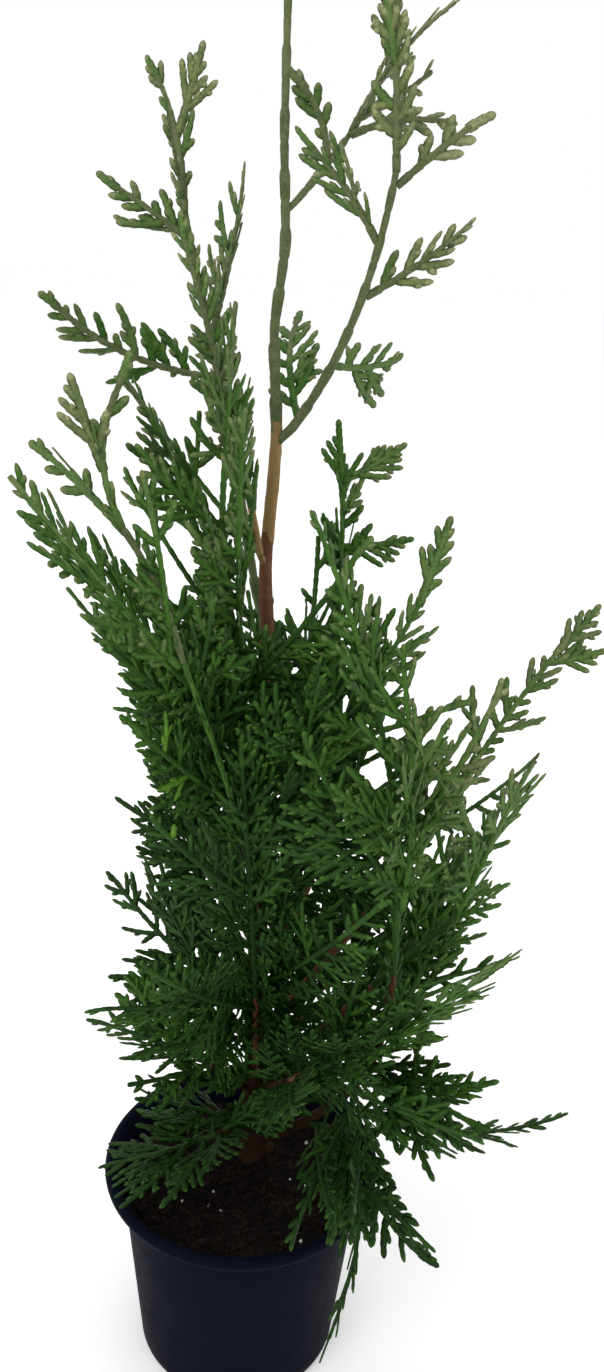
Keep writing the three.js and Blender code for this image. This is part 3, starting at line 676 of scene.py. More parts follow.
def noise(tree, place, scale, detail, roughness=0.5):
    """A noise texture's value."""
    values = [("Vector", place), ("Scale", scale), ("Detail", detail), ("Roughness", roughness)]
    return node(tree, "ShaderNodeTexNoise", values).outputs["Fac"]


def mapped(tree, value, low, high, to_low=0.0, to_high=1.0):
    """A value carried from one range to another and kept within it."""
    ends = [("From Min", low), ("From Max", high), ("To Min", to_low), ("To Max", to_high)]
    return node(tree, "ShaderNodeMapRange", [("Value", value), *ends]).outputs[0]


def mixed(tree, share, first, second):
    """A colour between two others."""
    values = [("Factor", share), (6, first), (7, second)]
    return node(tree, "ShaderNodeMix", values, data_type="RGBA").outputs[2]


def object_place(tree):
    return node(tree, "ShaderNodeTexCoord").outputs["Object"]


def link_all(tree, links):
    for source, target in links:
        tree.links.new(source, target)


# Mottle: the detail of its coarse and fine noise, how much finer the second is, the sums between which
# patches fade in, and how much rougher they are
COARSE_DETAIL = 3.0
FINE_DETAIL = 2.0
FINE_PATCHES = 6.0
PATCH_EDGES = (0.75, 1.25)
PATCH_ROUGHNESS = 0.12

# Grain: its noise's detail and roughness
GRAIN_NOISE = (4.0, 0.6)

# Dust: scale, detail and roughness of its blots, the values between which they fade in, and its share
# low down and high up
BLOT_NOISE = (42.0, 6.0, 0.65)
BLOT_EDGES = (0.42, 0.72)
DUST_SHARES = (1.0, 0.25)


def growth_mottle():
    """Patchy growth: a surface's colour drifts a little from place to place, and so does its gloss."""
    inputs = {"Colour": COLOUR, "Patch Colour": COLOUR, "Patches": NUMBER, "Contrast": NUMBER,
              "Roughness": NUMBER}
    tree, given, result = effect("growth_mottle", inputs, {"Colour": COLOUR, "Roughness": NUMBER})
    place = object_place(tree)
    finer = maths(tree, "MULTIPLY", given.outputs["Patches"], FINE_PATCHES)
    coarse = noise(tree, place, given.outputs["Patches"], COARSE_DETAIL)
    fine = noise(tree, place, finer, FINE_DETAIL)
    mask = mapped(tree, maths(tree, "ADD", coarse, fine), *PATCH_EDGES)
    share = maths(tree, "MULTIPLY", mask, given.outputs["Contrast"])
    colour = mixed(tree, share, given.outputs["Colour"], given.outputs["Patch Colour"])
    rough = maths(tree, "MULTIPLY_ADD", mask, PATCH_ROUGHNESS, given.outputs["Roughness"])
    link_all(tree, [(colour, result.inputs["Colour"]), (rough, result.inputs["Roughness"])])
    return tree


def fine_grain():
    """A fine grain as a height, stretched along Z by a given amount."""
    inputs = {"Grain": NUMBER, "Stretch": NUMBER}
    tree, given, result = effect("fine_grain", inputs, {"Height": NUMBER})
    stretch = [("X", 1.0), ("Y", 1.0), ("Z", given.outputs["Stretch"])]
    squeeze = node(tree, "ShaderNodeCombineXYZ", stretch)
    links = [(0, object_place(tree)), (1, squeeze.outputs[0])]
    shaped = node(tree, "ShaderNodeVectorMath", links, operation="MULTIPLY").outputs[0]
    height = noise(tree, shaped, given.outputs["Grain"], *GRAIN_NOISE)
    link_all(tree, [(height, result.inputs["Height"])])
    return tree


def settled_dust():
    """Dust that settles in patches, thicker low down."""
    inputs = {"Colour": COLOUR, "Dust": COLOUR, "Amount": NUMBER, "Low": NUMBER, "High": NUMBER}
    tree, given, result = effect("settled_dust", inputs, {"Colour": COLOUR, "Mask": NUMBER})
    place = object_place(tree)
    height = node(tree, "ShaderNodeSeparateXYZ", [(0, place)]).outputs["Z"]
    falling = mapped(tree, height, given.outputs["Low"], given.outputs["High"], *DUST_SHARES)
    blots = mapped(tree, noise(tree, place, *BLOT_NOISE), *BLOT_EDGES)
    mask = maths(tree, "MULTIPLY", maths(tree, "MULTIPLY", blots, falling), given.outputs["Amount"])
    colour = mixed(tree, mask, given.outputs["Colour"], given.outputs["Dust"])
    link_all(tree, [(colour, result.inputs["Colour"]), (mask, result.inputs["Mask"])])
    return tree


MOTTLE = growth_mottle()
GRAIN = fine_grain()
DUST = settled_dust()


def new_material(name, shown, specular=0.5):
    """A material with the colour that a plain viewport shows, its node tree and its shader."""
    material = bpy.data.materials.new(name)
    material.use_nodes = True
    material.diffuse_color = shown
    tree = material.node_tree
    shader = tree.nodes["Principled BSDF"]
    shader.inputs["Specular IOR Level"].default_value = specular
    return material, tree, shader


def add_mottle(tree, colour, patch, patches, contrast, roughness):
    return node(tree, "ShaderNodeGroup", [
        ("Colour", colour), ("Patch Colour", patch), ("Patches", patches),
        ("Contrast", contrast), ("Roughness", roughness)], node_tree=MOTTLE)


def add_grain(tree, shader, grain, stretch, bump):
    """Raises a surface by a fine grain, at most by a bump in millimetres."""
    relief = node(tree, "ShaderNodeGroup", [("Grain", grain), ("Stretch", stretch)], node_tree=GRAIN)
    values = [("Height", relief.outputs["Height"]), ("Distance", bump * MM), ("Strength", 1.0)]
    raised = node(tree, "ShaderNodeBump", values)
    tree.links.new(raised.outputs["Normal"], shader.inputs["Normal"])


def finish_material(name, colour, patch, patches, contrast, roughness, grain, stretch, bump, specular):
    """Mottled colour and gloss over a fine grain."""
    material, tree, shader = new_material(name, colour, specular)
    mottle = add_mottle(tree, colour, patch, patches, contrast, roughness)
    tree.links.new(mottle.outputs["Colour"], shader.inputs["Base Color"])
    tree.links.new(mottle.outputs["Roughness"], shader.inputs["Roughness"])
    add_grain(tree, shader, grain, stretch, bump)
    return material


def finished(*rows):
    """Materials from rows of name, colour, patch colour and the other values in their order."""
    return [finish_material(name, linear(*colour), linear(*patch), *rest)
            for name, colour, patch, *rest in rows]


# Leaves: what their two colours are of the green that is given, and the other values of their finish
LEAF_BASE = np.array([0.86, 0.9, 0.86])
LEAF_PATCH = np.array([1.36, 1.26, 1.2])
LEAF_FINISH = (190, 0.75, 0.55, 1500, 1, 0.2, 0.14)


def leaf_material(name, *green):
    """A scale-leaved surface: its green drifts lighter in patches."""
    base, patch = linear(*(LEAF_BASE * green)), linear(*(LEAF_PATCH * green))
    return finish_material(name, base, patch, *LEAF_FINISH)


# From the deepest green to the palest, and then the fresh growth
LEAVES = [
    leaf_material("leaf_deep", 27, 54, 13),
    leaf_material("leaf_mid", 40, 72, 23),
    leaf_material("leaf_fresh", 55, 90, 34),
    leaf_material("leaf_pale", 75, 101, 54),
    leaf_material("leaf_olive", 94, 108, 71),
    leaf_material("leaf_tip", 118, 127, 94),
    leaf_material("leaf_new", 74, 116, 36),
]
NEW_GROWTH = len(LEAVES) - 1

# The tone of fresh growth, and the tone from which a shoot counts as such whatever was added to it
FRESH_TONE = 3 * NEW_GROWTH
FRESH_TONE_FROM = 2 * NEW_GROWTH

# The first bark is dark bark darkened further, as painted shade on the trunk's foot and low boughs
BARKS = finished(
    ("bark_dark", (36, 24, 17), (60, 39, 27), 160, 0.8, 0.8, 700, 0.3, 0.5, 0.1),
    ("bark_red", (94, 59, 42), (117, 80, 56), 140, 0.8, 0.75, 700, 0.3, 0.4, 0.15),
    ("bark_tan", (126, 102, 61), (147, 121, 79), 140, 0.7, 0.65, 800, 0.4, 0.25, 0.2),
    ("shoot_olive", (69, 82, 48), (105, 113, 76), 200, 0.85, 0.55, 1200, 0.6, 0.3, 0.14),
)
BARK_DARK_SHADED, BARK_RED, BARK_TAN, SHOOT_OLIVE = range(4)

# The heights up to which the trunk has each bark; the lowest band's dark bark also paints the shade on
# the trunk's foot
TRUNK_BANDS = [(300, BARK_DARK_SHADED), (398, BARK_RED), (443, BARK_TAN)]


# The pot: the colour a plain viewport shows and its specular level; its two colours, patches, contrast
# and roughness; its dust with its heights in metres; how much the dust roughens it; and its grain
POT_SHOWN = (linear(24, 26, 37), 0.02)
POT_MOTTLE = (linear(8, 11, 23), linear(11, 14, 27), 25.0, 0.6, 0.5)
POT_DUST = [("Dust", linear(32, 32, 39)), ("Amount", 0.14), ("Low", 0.0), ("High", 0.09)]
DUST_ROUGHNESS = 0.5
POT_GRAIN = (1400, 1, 0.06)


def pot_material():
    """Navy black moulded plastic, softly glossy, scuffed and dusty lower down."""
    material, tree, shader = new_material("pot_plastic", *POT_SHOWN)
    mottle = add_mottle(tree, *POT_MOTTLE)
    given = [("Colour", mottle.outputs["Colour"]), *POT_DUST]
    dust = node(tree, "ShaderNodeGroup", given, node_tree=DUST)
    rough = maths(tree, "MULTIPLY_ADD", dust.outputs["Mask"], DUST_ROUGHNESS, mottle.outputs["Roughness"])
    tree.links.new(dust.outputs["Colour"], shader.inputs["Base Color"])
    tree.links.new(rough, shader.inputs["Roughness"])
    add_grain(tree, shader, *POT_GRAIN)
    return material


POT_PLASTIC = pot_material()
SOILS = finished(
    ("soil_mix", (16, 13, 12), (31, 25, 24), 260, 0.8, 0.85, 1300, 1, 0.6, 0.06),
    ("soil_bark", (28, 20, 17), (42, 31, 26), 300, 0.8, 0.8, 1500, 1, 0.4, 0.08),
    ("soil_fibre", (46, 33, 27), (62, 47, 38), 300, 0.6, 0.8, 1500, 1, 0.2, 0.1),
)
SOIL_MIX, SOIL_BARK, SOIL_FIBRE = range(3)
PERLITES = finished(("perlite", (205, 203, 196), (226, 225, 220), 500, 0.6, 0.8, 2500, 1, 0.3, 0.5))


# Meshes

def mesh_piece(name, vertices, faces, shades, materials, replaced=(), smooth_faces=True):
    """A piece from corners in millimetres and from arrays of faces, one for each count of corners."""
    mesh = bpy.data.meshes.new(name)
    sizes = np.concatenate([np.full(len(block), block.shape[1]) for block in faces])
    corners = np.concatenate([block.ravel() for block in faces]).astype(np.int32)
    mesh.vertices.add(len(vertices))
    mesh.vertices.foreach_set("co", (vertices * MM).astype(np.float32).ravel())
    mesh.loops.add(len(corners))
    mesh.loops.foreach_set("vertex_index", corners)
    mesh.polygons.add(len(sizes))
    mesh.polygons.foreach_set("loop_start", (np.cumsum(sizes) - sizes).astype(np.int32))
    mesh.polygons.foreach_set("material_index", np.concatenate(shades).astype(np.int32))
    mesh.polygons.foreach_set("use_smooth", np.full(len(sizes), smooth_faces))
    mesh.update(calc_edges=True)
    for material in materials:
        mesh.materials.append(material)
    piece = bpy.data.objects.new(name, mesh)
    bpy.context.scene.collection.objects.link(piece)
    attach(piece, "root")
    if replaced:
        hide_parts(*replaced)
    return piece


class Store:
    """Corners and faces gathered for one joined piece."""

    def __init__(self):
        self.vertices, self.faces, self.shades, self.count = [], {}, {}, 0

    def add(self, vertices, blocks):
        """Adds corners (N, 3) and blocks of faces, each with its faces' shades."""
        for faces, shades in blocks:
            size = faces.shape[1]
            self.faces.setdefault(size, []).append(faces + self.count)
            self.shades.setdefault(size, []).append(np.broadcast_to(shades, len(faces)))
        self.vertices.append(vertices)
        self.count += len(vertices)

    def piece(self, name, materials, slot, replaced=(), smooth_faces=True):
        sizes = sorted(self.faces)
        faces = [np.concatenate(self.faces[size]) for size in sizes]
        shades = [np.concatenate(self.shades[size]) for size in sizes]
        vertices = np.concatenate(self.vertices)
        return mesh_piece(name, vertices, faces, shades, materials, replaced, smooth_faces)


def ring_faces(rings, sides):
    """Quads between rings that follow each other, and the first and last rings' caps."""
    starts = np.arange(rings - 1)[:, None] * sides
    base = (starts + np.arange(sides)).ravel()
    after = (starts + (np.arange(sides) + 1) % sides).ravel()
    quads = np.stack([base, after, after + sides, base + sides], axis=1)
    first = np.arange(sides)[::-1][None, :]
    last = (rings - 1) * sides + np.arange(sides)[None, :]
    return quads, first, last


def fan_faces(ring, tip):
    """Triangles from a ring to one corner."""
    return np.stack([ring, np.roll(ring, -1), np.full(len(ring), tip)], axis=1)


def sweep_rings(middles, sides, normals, widths, thicks, section):
    """Corners of rings about the middles, with a section given in half widths and half thicknesses."""
    across = section[None, :, :1] * widths[:, None, None]
    lift = section[None, :, 1:] * thicks[:, None, None]
    return (middles[:, None] + across * sides[:, None] + lift * normals[:, None]).reshape(-1, 3)


def round_section(sides):
    turns = turns_of(sides)
    return np.stack([np.cos(turns), np.sin(turns)], axis=1)


# Fronds

# A flat shoot's section
DIAMOND = np.array([(1, 0), (0, 1), (-1, 0), (0, -1)])


class Shoots:
    """Flat scale-leaved shoots of one piece, gathered and then made together."""

    def __init__(self):
        self.rows = []

    def add(self, root, heading, normal, bend, length, half, shade, tip_shade):
        self.rows.append((*root, *heading, *normal, *bend, length, half, shade, tip_shade))

    def into(self, store):
        """Makes all the shoots whose tips aren't seen in a gap."""
        rows = np.array(self.rows)
        rows = rows[~in_a_gap(rows[:, 0:3] + rows[:, 3:6] * rows[:, 12:13] + rows[:, 9:12])]
        scales = np.clip(np.round(rows[:, 12] / SCALE_LENGTH), 1, MOST_SCALES).astype(int)
        for count in np.unique(scales):
            self.loft(store, rows[scales == count], count)

    def loft(self, store, rows, count):
        """Each scale leaf widens from its foot to near its tip, then steps in to the next one's foot."""
        root, heading, normal, bend = (rows[:, None, i:i + 3] for i in (0, 3, 6, 9))
        length, half, shade, tip_shade = rows[:, 12:].T
        places = ((np.arange(count)[:, None] + SCALE_PLACES) / count).ravel()
        widths = np.tile(SCALE_WIDTHS, count)
        places[0], widths[0] = 0, ROOT_WIDTH
        places = np.append(places[:-1], 1 - np.array(TIP_LEFT) / count)
        widths = np.append(widths[:-1], TIP_WIDTHS)
        t = places[None, :, None]
        middles = root + heading * length[:, None, None] * t + bend * t**2
        along = unit(heading * length[:, None, None] + 2 * bend * t)
        across = unit(np.cross(normal, along))
        up = np.cross(along, across)
        half_widths = half[:, None] * widths * (SWELL - SWELL_LOSS * places)
        thick = FINGER_THICK * (half[:, None] / FINGER_HALF) ** 0.5
        half_thicks = thick * (THICK_LEAST + THICK_MORE * widths)
        corners = (middles[:, :, None]
                   + across[:, :, None] * (half_widths[:, :, None] * DIAMOND[:, 0])[..., None]
                   + up[:, :, None] * (half_thicks[:, :, None] * DIAMOND[:, 1])[..., None])
        shoots, rings, sides = corners.shape[:3]
        tips = root + heading * length[:, None, None] + bend
        vertices = np.concatenate([corners.reshape(shoots, -1, 3), tips], axis=1)
        size = rings * sides + 1
        quads, first, last = ring_faces(rings, sides)
        tipped = np.repeat(np.arange(rings - 1), sides) >= rings - TIP_RINGS
        quad_shades = np.where(tipped, tip_shade[:, None], shade[:, None]).ravel()
        fan = fan_faces(last[0], size - 1)
        blocks = [(quads, quad_shades), (fan, np.repeat(tip_shade, sides)), (first, shade)]
        shift = (np.arange(shoots) * size)[:, None, None]
        store.add(vertices.reshape(-1, 3), [
            ((faces + shift).reshape(-1, faces.shape[1]), shades) for faces, shades in blocks])


def blade_share(share):
    if share < FULLEST:
        return FOOT_SHARE + (1 - FOOT_SHARE) * share / FULLEST
    return 1 - (1 - TIP_SHARE) * ((share - FULLEST) / (1 - FULLEST)) ** BLADE_FALL


def blades_of(length, bare, step, seed):
    """Place, hand, stretch and tilt of each of the source's blades on a stem or twig."""
    numbers = seeded(seed)
    blades = []
    place = bare + step / 2
    while place < length - step / 2:
        stretch = within(next(numbers), *BLADE_VARIES)
        tilt = BLADE_TILT * (2 * next(numbers) - 1)
        blades.append((place, 1 if len(blades) % 2 == 0 else -1, stretch, tilt))
        place += step
    return blades


# Fronds paler or deeper than their place alone would make them
TONE_SHIFTS = {
    "low_left_light": 1.0,
    "low_left_long": 0.5,
    "centre_front": 0.6,
    "far_left_fan": -0.8,
    "left_tall_outer": -0.5,
    "left_tall_high": -0.3,
    "right_far_low": 0.7,
    "droop_right": 0.3,
    "right_dark": -0.7,
    "left_dark": -0.6,
    "right_front_tip": 0.5,
    "right_low": 0.6,
}


# Tone: the crown's middle, the deepest tone, how far chance moves it, and the draw that stands for
# chance on stems
CROWN_MIDDLE = (4, 15)
DEEP_TONE = 0.45
TONE_DRIFT = 0.9
STEM_DRAW = 0.4

# What height, distance from the middle, the right side and a shoot's tip add to the tone, each with the
# stretch over which it comes in, and the heights over which the outer and the right ones do
LOW_TONE = (0.4, 150, 260)
HIGH_TONE = (3.1, 280, 560)
OUTER_TONE = (1.5, 50, 130)
OUTER_HEIGHTS = (80, 380)
RIGHT_TONE = (1.4, 25, 85)
RIGHT_HEIGHTS = (110, 280)
TIP_TONE = 0.45
HIGH_TIP_TONE = (0.6, 220, 480)


def eased(amount, low, high, value):
    return amount * smooth(low, high, value)


def leaf_tone(point, draw):
    """How pale a spray is: deep green low and inside, paler higher up, far out and on the right."""
    x, y, z = point
    out = math.hypot(x - CROWN_MIDDLE[0], y - CROWN_MIDDLE[1])
    tone = DEEP_TONE + eased(*LOW_TONE, z) + eased(*HIGH_TONE, z)
    tone += eased(*OUTER_TONE, out) * smooth(*OUTER_HEIGHTS, z)
    tone += eased(*RIGHT_TONE, x) * smooth(*RIGHT_HEIGHTS, z)
    return tone + TONE_DRIFT * (draw - 0.5)


def tip_lift(point):
    """How much paler a shoot's tip is than the shoot: little low down, more at the top."""
    return TIP_TONE + eased(*HIGH_TIP_TONE, point[2])


def shade_of(tone):
    """The leaf material of a tone."""
    return NEW_GROWTH if tone > FRESH_TONE_FROM else int(np.clip(tone, 0, NEW_GROWTH - 1))


def shades_at(tone, root):
    """The leaf materials of a shoot and of its tip."""
    return shade_of(tone), shade_of(tone + tip_lift(root))


def add_spray(shoots, random, root, heading, normal, along, length, half, shift=0):
    """A spray: a flat shoot that curls forward, with fingers to both sides and nubs on the fingers."""
    bend = along * SPRAY_CURL * length
    samples = root + np.outer(SPRAY_SAMPLES, heading * length) + np.outer(SPRAY_SAMPLES**2, bend)
    open_from = np.append(in_a_gap(samples), True).argmax()
    if in_the_way(samples) or open_from == 0:
        return
    share = SPRAY_SAMPLES[open_from - 1]
    length, bend = length * share, bend * share**2
    if length < SHORTEST_FINGER:
        return
    tone = leaf_tone(samples[2], random.random()) + shift
    if root[1] < 0 and seen_in(samples[2:3], FRESH_GROWTH)[0]:
        tone = FRESH_TONE
    shoots.add(root, heading, normal, bend, length, half, *shades_at(tone, root))
    across = unit(np.cross(normal, heading))
    hand = drawn_hand(random)
    place = max(FIRST_FINGER, BARE_FOOT * length) * varied(random, *FIRST_FINGER_VARIES)
    while place < length - SHORTEST_FINGER:
        hand = -hand
        share = place / length
        finger = FINGER_SHARE * (length - place) * varied(random, *FINGER_VARIES)
        finger = min(finger, LONGEST_FINGER)
        if finger > SHORTEST_FINGER:
            angle = FINGER_ANGLE + (FINGER_ANGLE_TIP - FINGER_ANGLE) * share + swung(random, FINGER_SWING)
            forward = unit(heading * length + 2 * bend * share)
            start = root + heading * place + bend * share**2
            out = unit(across * hand + normal * FINGER_TWIST * swung(random, 1))
            way, curl = unit(leaning(forward, out, angle)), forward * FINGER_CURL * finger
            slim, paler = half * FINGER_SLIMNESS, tone + FINGER_LIFT * share
            add_finger(shoots, random, start, way, normal, curl, finger, slim, paler)
        place += FINGER_PITCH * varied(random, *FINGER_PITCH_VARIES)


def add_finger(shoots, random, root, heading, normal, bend, length, half, tone):
    """A finger of a spray, with nubs left and right in turn where it is long."""
    samples = root + np.outer((CUT_BACK, 1), heading * length + bend)
    if in_the_way(samples) or in_a_gap(samples[:1])[0]:
        return
    if in_a_gap(samples[1:])[0]:
        length, bend = length * CUT_BACK, bend * CUT_BACK**2
    shoots.add(root, heading, normal, bend, length, half, *shades_at(tone, root))
    across = unit(np.cross(normal, heading))
    hand = drawn_hand(random)
    place = NUB_PITCH * varied(random, *FIRST_NUB_VARIES)
    while length > NUB_FROM and place < length - NUB_END:
        share = place / length
        start = root + heading * place + bend * share**2
        way = unit(heading * NUB_FORWARD + across * hand * NUB_ASIDE)
        nub = varied(random, NUB_LENGTH, NUB_SHARE * (length - place))
        curl = heading * NUB_CURL * nub
        shoots.add(start, way, normal, curl, nub, half * NUB_SLIMNESS, *shades_at(tone, start))
        hand = -hand
        place += NUB_PITCH * varied(random, *NUB_PITCH_VARIES)


class Twig:
    """A side twig of a mass, which leaves the stem and curves up along it."""

    def __init__(self, root, heading, normal, along, length):
        self.root, self.heading, self.normal, self.length = root, heading, normal, length
        self.bend = along * TWIG_CURL * length

    def point(self, share):
        share = np.asarray(share, float)[..., None]
        return self.root + self.heading * self.length * share + self.bend * share**2

    def frame(self, share):
        share = np.asarray(share, float)[..., None]
        along = unit(self.heading * self.length + 2 * self.bend * share)
        side = unit(np.cross(self.normal, along))
        return along, side, np.cross(along, side)


def twigs_of(line, bare, count, seed):
    """The side twigs of a mass, left and right in turn, tilted towards its front and its back."""
    numbers = seeded(seed)
    first, last = max(TWIG_BARE, TWIG_FIRST * bare), TWIG_LAST * line.length
    twigs = []
    for i in range(count):
        place = first + (last - first) * (i + TWIG_DRIFT * next(numbers)) / count
        share = place / line.length
        along, side, normal = line.frame(share)
        side = side * (1 if i % 2 == 1 else -1)
        tilt = TWIG_TILT * within(next(numbers), *TWIG_TILT_VARIES) * (1 if i // 2 % 2 == 0 else -1)
        heading = leaning(along, leaning(side, normal, tilt), TWIG_ANGLE)
        length = TWIG_SHARE * (line.length - place) * within(next(numbers), *TWIG_VARIES)
        twigs.append(Twig(line.point(share), heading, leaning(normal, -side, tilt), along, length))
    return twigs


def add_sprays(shoots, random, fine, line, reach, bare, blades, pitch, half, ranks=FLAT_RANKS, shift=0):
    """Ranks of sprays along a stem or twig, each spray like the source's blade nearest to it."""
    for rank, (hand, lean, spacing, size) in enumerate(ranks):
        mine = [blade for blade in blades if blade[1] == hand] or blades
        place = bare + pitch * (RANK_START + RANK_SHIFT * rank % 1)
        while place < line.length * (1 if lean == 0 else BUSHY_TO) - RANK_END:
            stretch, tilt = min(mine, key=lambda blade: abs(blade[0] - place))[2:] if mine else (1, 0)
            share = place / line.length
            along, side, normal = line.frame(share)
            side = side * hand
            tilt = lean + tilt + swung(random, SPRAY_TILT)
            angle = BLADE_ANGLE + (BLADE_ANGLE_TIP - BLADE_ANGLE) * share + SPRAY_LEAN
            heading = leaning(along, leaning(side, normal, tilt), angle + swung(random, SPRAY_SWING))
            spray = reach * size * blade_share(share) * stretch * varied(random, *SPRAY_VARIES)
            level = leaning(normal, -side, tilt)
            level = unit(turned(level, heading, math.radians(SPRAY_ROLL) * swung(random, 1)))
            level = unit(level - heading * (level @ heading))
            spray = max(SHORTEST_BLADE, spray)
            add_spray(shoots, fine, line.point(share), heading, level, along, spray, half, shift)
            place += pitch * spacing * varied(random, *SPRAY_PITCH_VARIES)
    along, side, normal = line.frame(1)
    root, curl = line.point(1) - along * TIP_SPRAY_SINK, side * TIP_SPRAY_CURL
    add_spray(shoots, fine, root, along, normal, curl, TIP_BLADE, half, shift)


# What starts the chance of each mass's sprays, in the order of the masses
SPRAY_SEEDS = [
    100, 10822, 14361, 9665, 1126, 16316, 24735, 19246, 13025, 22725, 4731, 4854, 24192, 9980, 5162, 5224,
    9434, 6873, 16512, 22613, 2545, 3888, 3523, 4561, 1146, 1330, 1453, 2308, 6152, 2920, 7618, 2068,
    10853, 4022, 5060, 9087, 1951, 17751, 11042, 11958, 9153, 8727, 2933, 1714, 2691, 2326,
]


def add_frond(shoots, stems, number, row, line):
    """All the sprays and stems of one mass, placed by the source's rule for blades and twigs."""
    name, on, _, _, _, length, _, _, _, reach, bare, twig_count = row
    random, fine = np.random.default_rng(SPRAY_SEEDS[number]), np.random.default_rng(number)
    sparse, airy, on_trunk = reach <= OPEN_REACH, twig_count <= OPEN_TWIGS, on == "trunk"
    pitch = OPEN_PITCH if sparse or airy else DENSE_PITCH
    half = FINGER_HALF * (SPARSE_HALF if sparse else AIRY_HALF if airy else 1)
    grown = reach * (SPARSE_GROWTH if sparse else 1)
    ranks = BUSHY_RANKS if twig_count >= BUSHY_TWIGS else FLAT_RANKS
    shift = TONE_SHIFTS.get(name, 0)
    blades = blades_of(length, bare, BLADE_STEP, number + 1)
    add_sprays(shoots, random, fine, line, grown, bare, blades, pitch, half, ranks, shift)
    wood = bare / length + WOODY_PAST_BARE if on_trunk and not sparse else 0
    add_stem(stems, line, TRUNK_STEM if on_trunk else MASS_STEM, MASS_STEM_TIP, wood, random, on_trunk)
    for i, twig in enumerate(twigs_of(line, bare, twig_count, number + TWIG_SEED)):
        samples = twig.point(TWIG_SAMPLES)
        if in_the_way(samples) or in_a_gap(samples).sum() > TWIG_MOST_HIDDEN:
            continue
        add_stem(stems, twig, TWIG_STEM, TWIG_STEM_TIP, 0, random)
        blades = blades_of(twig.length, TWIG_BARE, TWIG_STEP, TWIG_BLADE_SEED + number * MOST_TWIGS + i)
        reached = reach * TWIG_REACH
        add_sprays(shoots, random, fine, twig, reached, TWIG_BARE, blades, DENSE_PITCH, FINGER_HALF,
                   shift=shift)


def into_trunk(point):
    """The level way from a point on the bark to the trunk's middle."""
    x, y, _ = trunk_at(point[2])
    return np.array([x - point[0], y - point[1], 0])


def add_stem(store, line, foot_half, tip_half, wood, random, on_trunk=False):
    """A frond's stem: woody at its foot, then clothed in long scale leaves, and flatter to its tip."""
    scales = max(FEWEST_STEM_SCALES, int(line.length / STEM_SCALE))
    feet = np.arange(scales)
    places = np.sort(np.concatenate([feet / scales, (feet + STEM_SCALE_FULL) / scales]))
    places = np.append(places, 1)
    clothed = smooth(wood, wood + CLOTHING, places)
    scallop = np.where(np.arange(len(places)) % 2 == 1, 1.0, STEM_NECK)
    widths = (foot_half + (tip_half - foot_half) * places) * (1 + (scallop * STEM_SWELL - 1) * clothed)
    thicks = widths * (1 - STEM_FLATNESS * clothed * places)
    along, side, normal = line.frame(places)
    middles = line.point(places)
    middles[0] -= along[0] * STEM_SINK
    if on_trunk:
        middles[0] += into_trunk(middles[0]) * ROOTED
    vertices = sweep_rings(middles, side, normal, widths, thicks, round_section(STEM_ROUND))
    quads, first, last = ring_faces(len(places), STEM_ROUND)
    ring_share = np.repeat(places[:-1], STEM_ROUND)
    heights = np.repeat(middles[:-1, 2], STEM_ROUND) + swung(random, BARK_SWING)
    green = [len(BARKS) + shade_of(leaf_tone(point, STEM_DRAW)) for point in middles[:-1]]
    clad = np.where(heights > OLIVE_STEM_FROM, SHOOT_OLIVE, np.repeat(green, STEM_ROUND))
    # Woody feet low down take the dark bark, which paints the shade under the crown
    bark = np.where(heights > RED_TO, BARK_TAN, np.where(heights > SHADED_BARK_TO, BARK_RED, BARK_DARK_SHADED))
    shades = np.where(ring_share < wood, bark, clad)
    store.add(vertices, [(quads, shades), (first, shades[0]), (last, shades[-1])])


# Boughs that carry sprays of their own: the share of their length where these begin, face, reach, piece
CLAD_BOUGHS = {
    "bough_front_left": (0.3, -35, 20, "fronds_left"),
    "bough_front_left_upper": (0.1, -35, 15, "fronds_left"),
    "bough_left_tall": (0.45, -60, 14, "fronds_left_tall"),
    "bough_left_middle": (0.4, -40, 20, "fronds_left_tall"),
    "bough_right_front": (0.5, 60, 20, "fronds_right_tall"),
    "bough_right": (0.6, 40, 20, "fronds_right_low"),
    "bough_far_right": (0.6, 60, 20, "fronds_right_tall"),
    "bough_right_back": (0.6, 70, 16, "fronds_right_tall"),
}


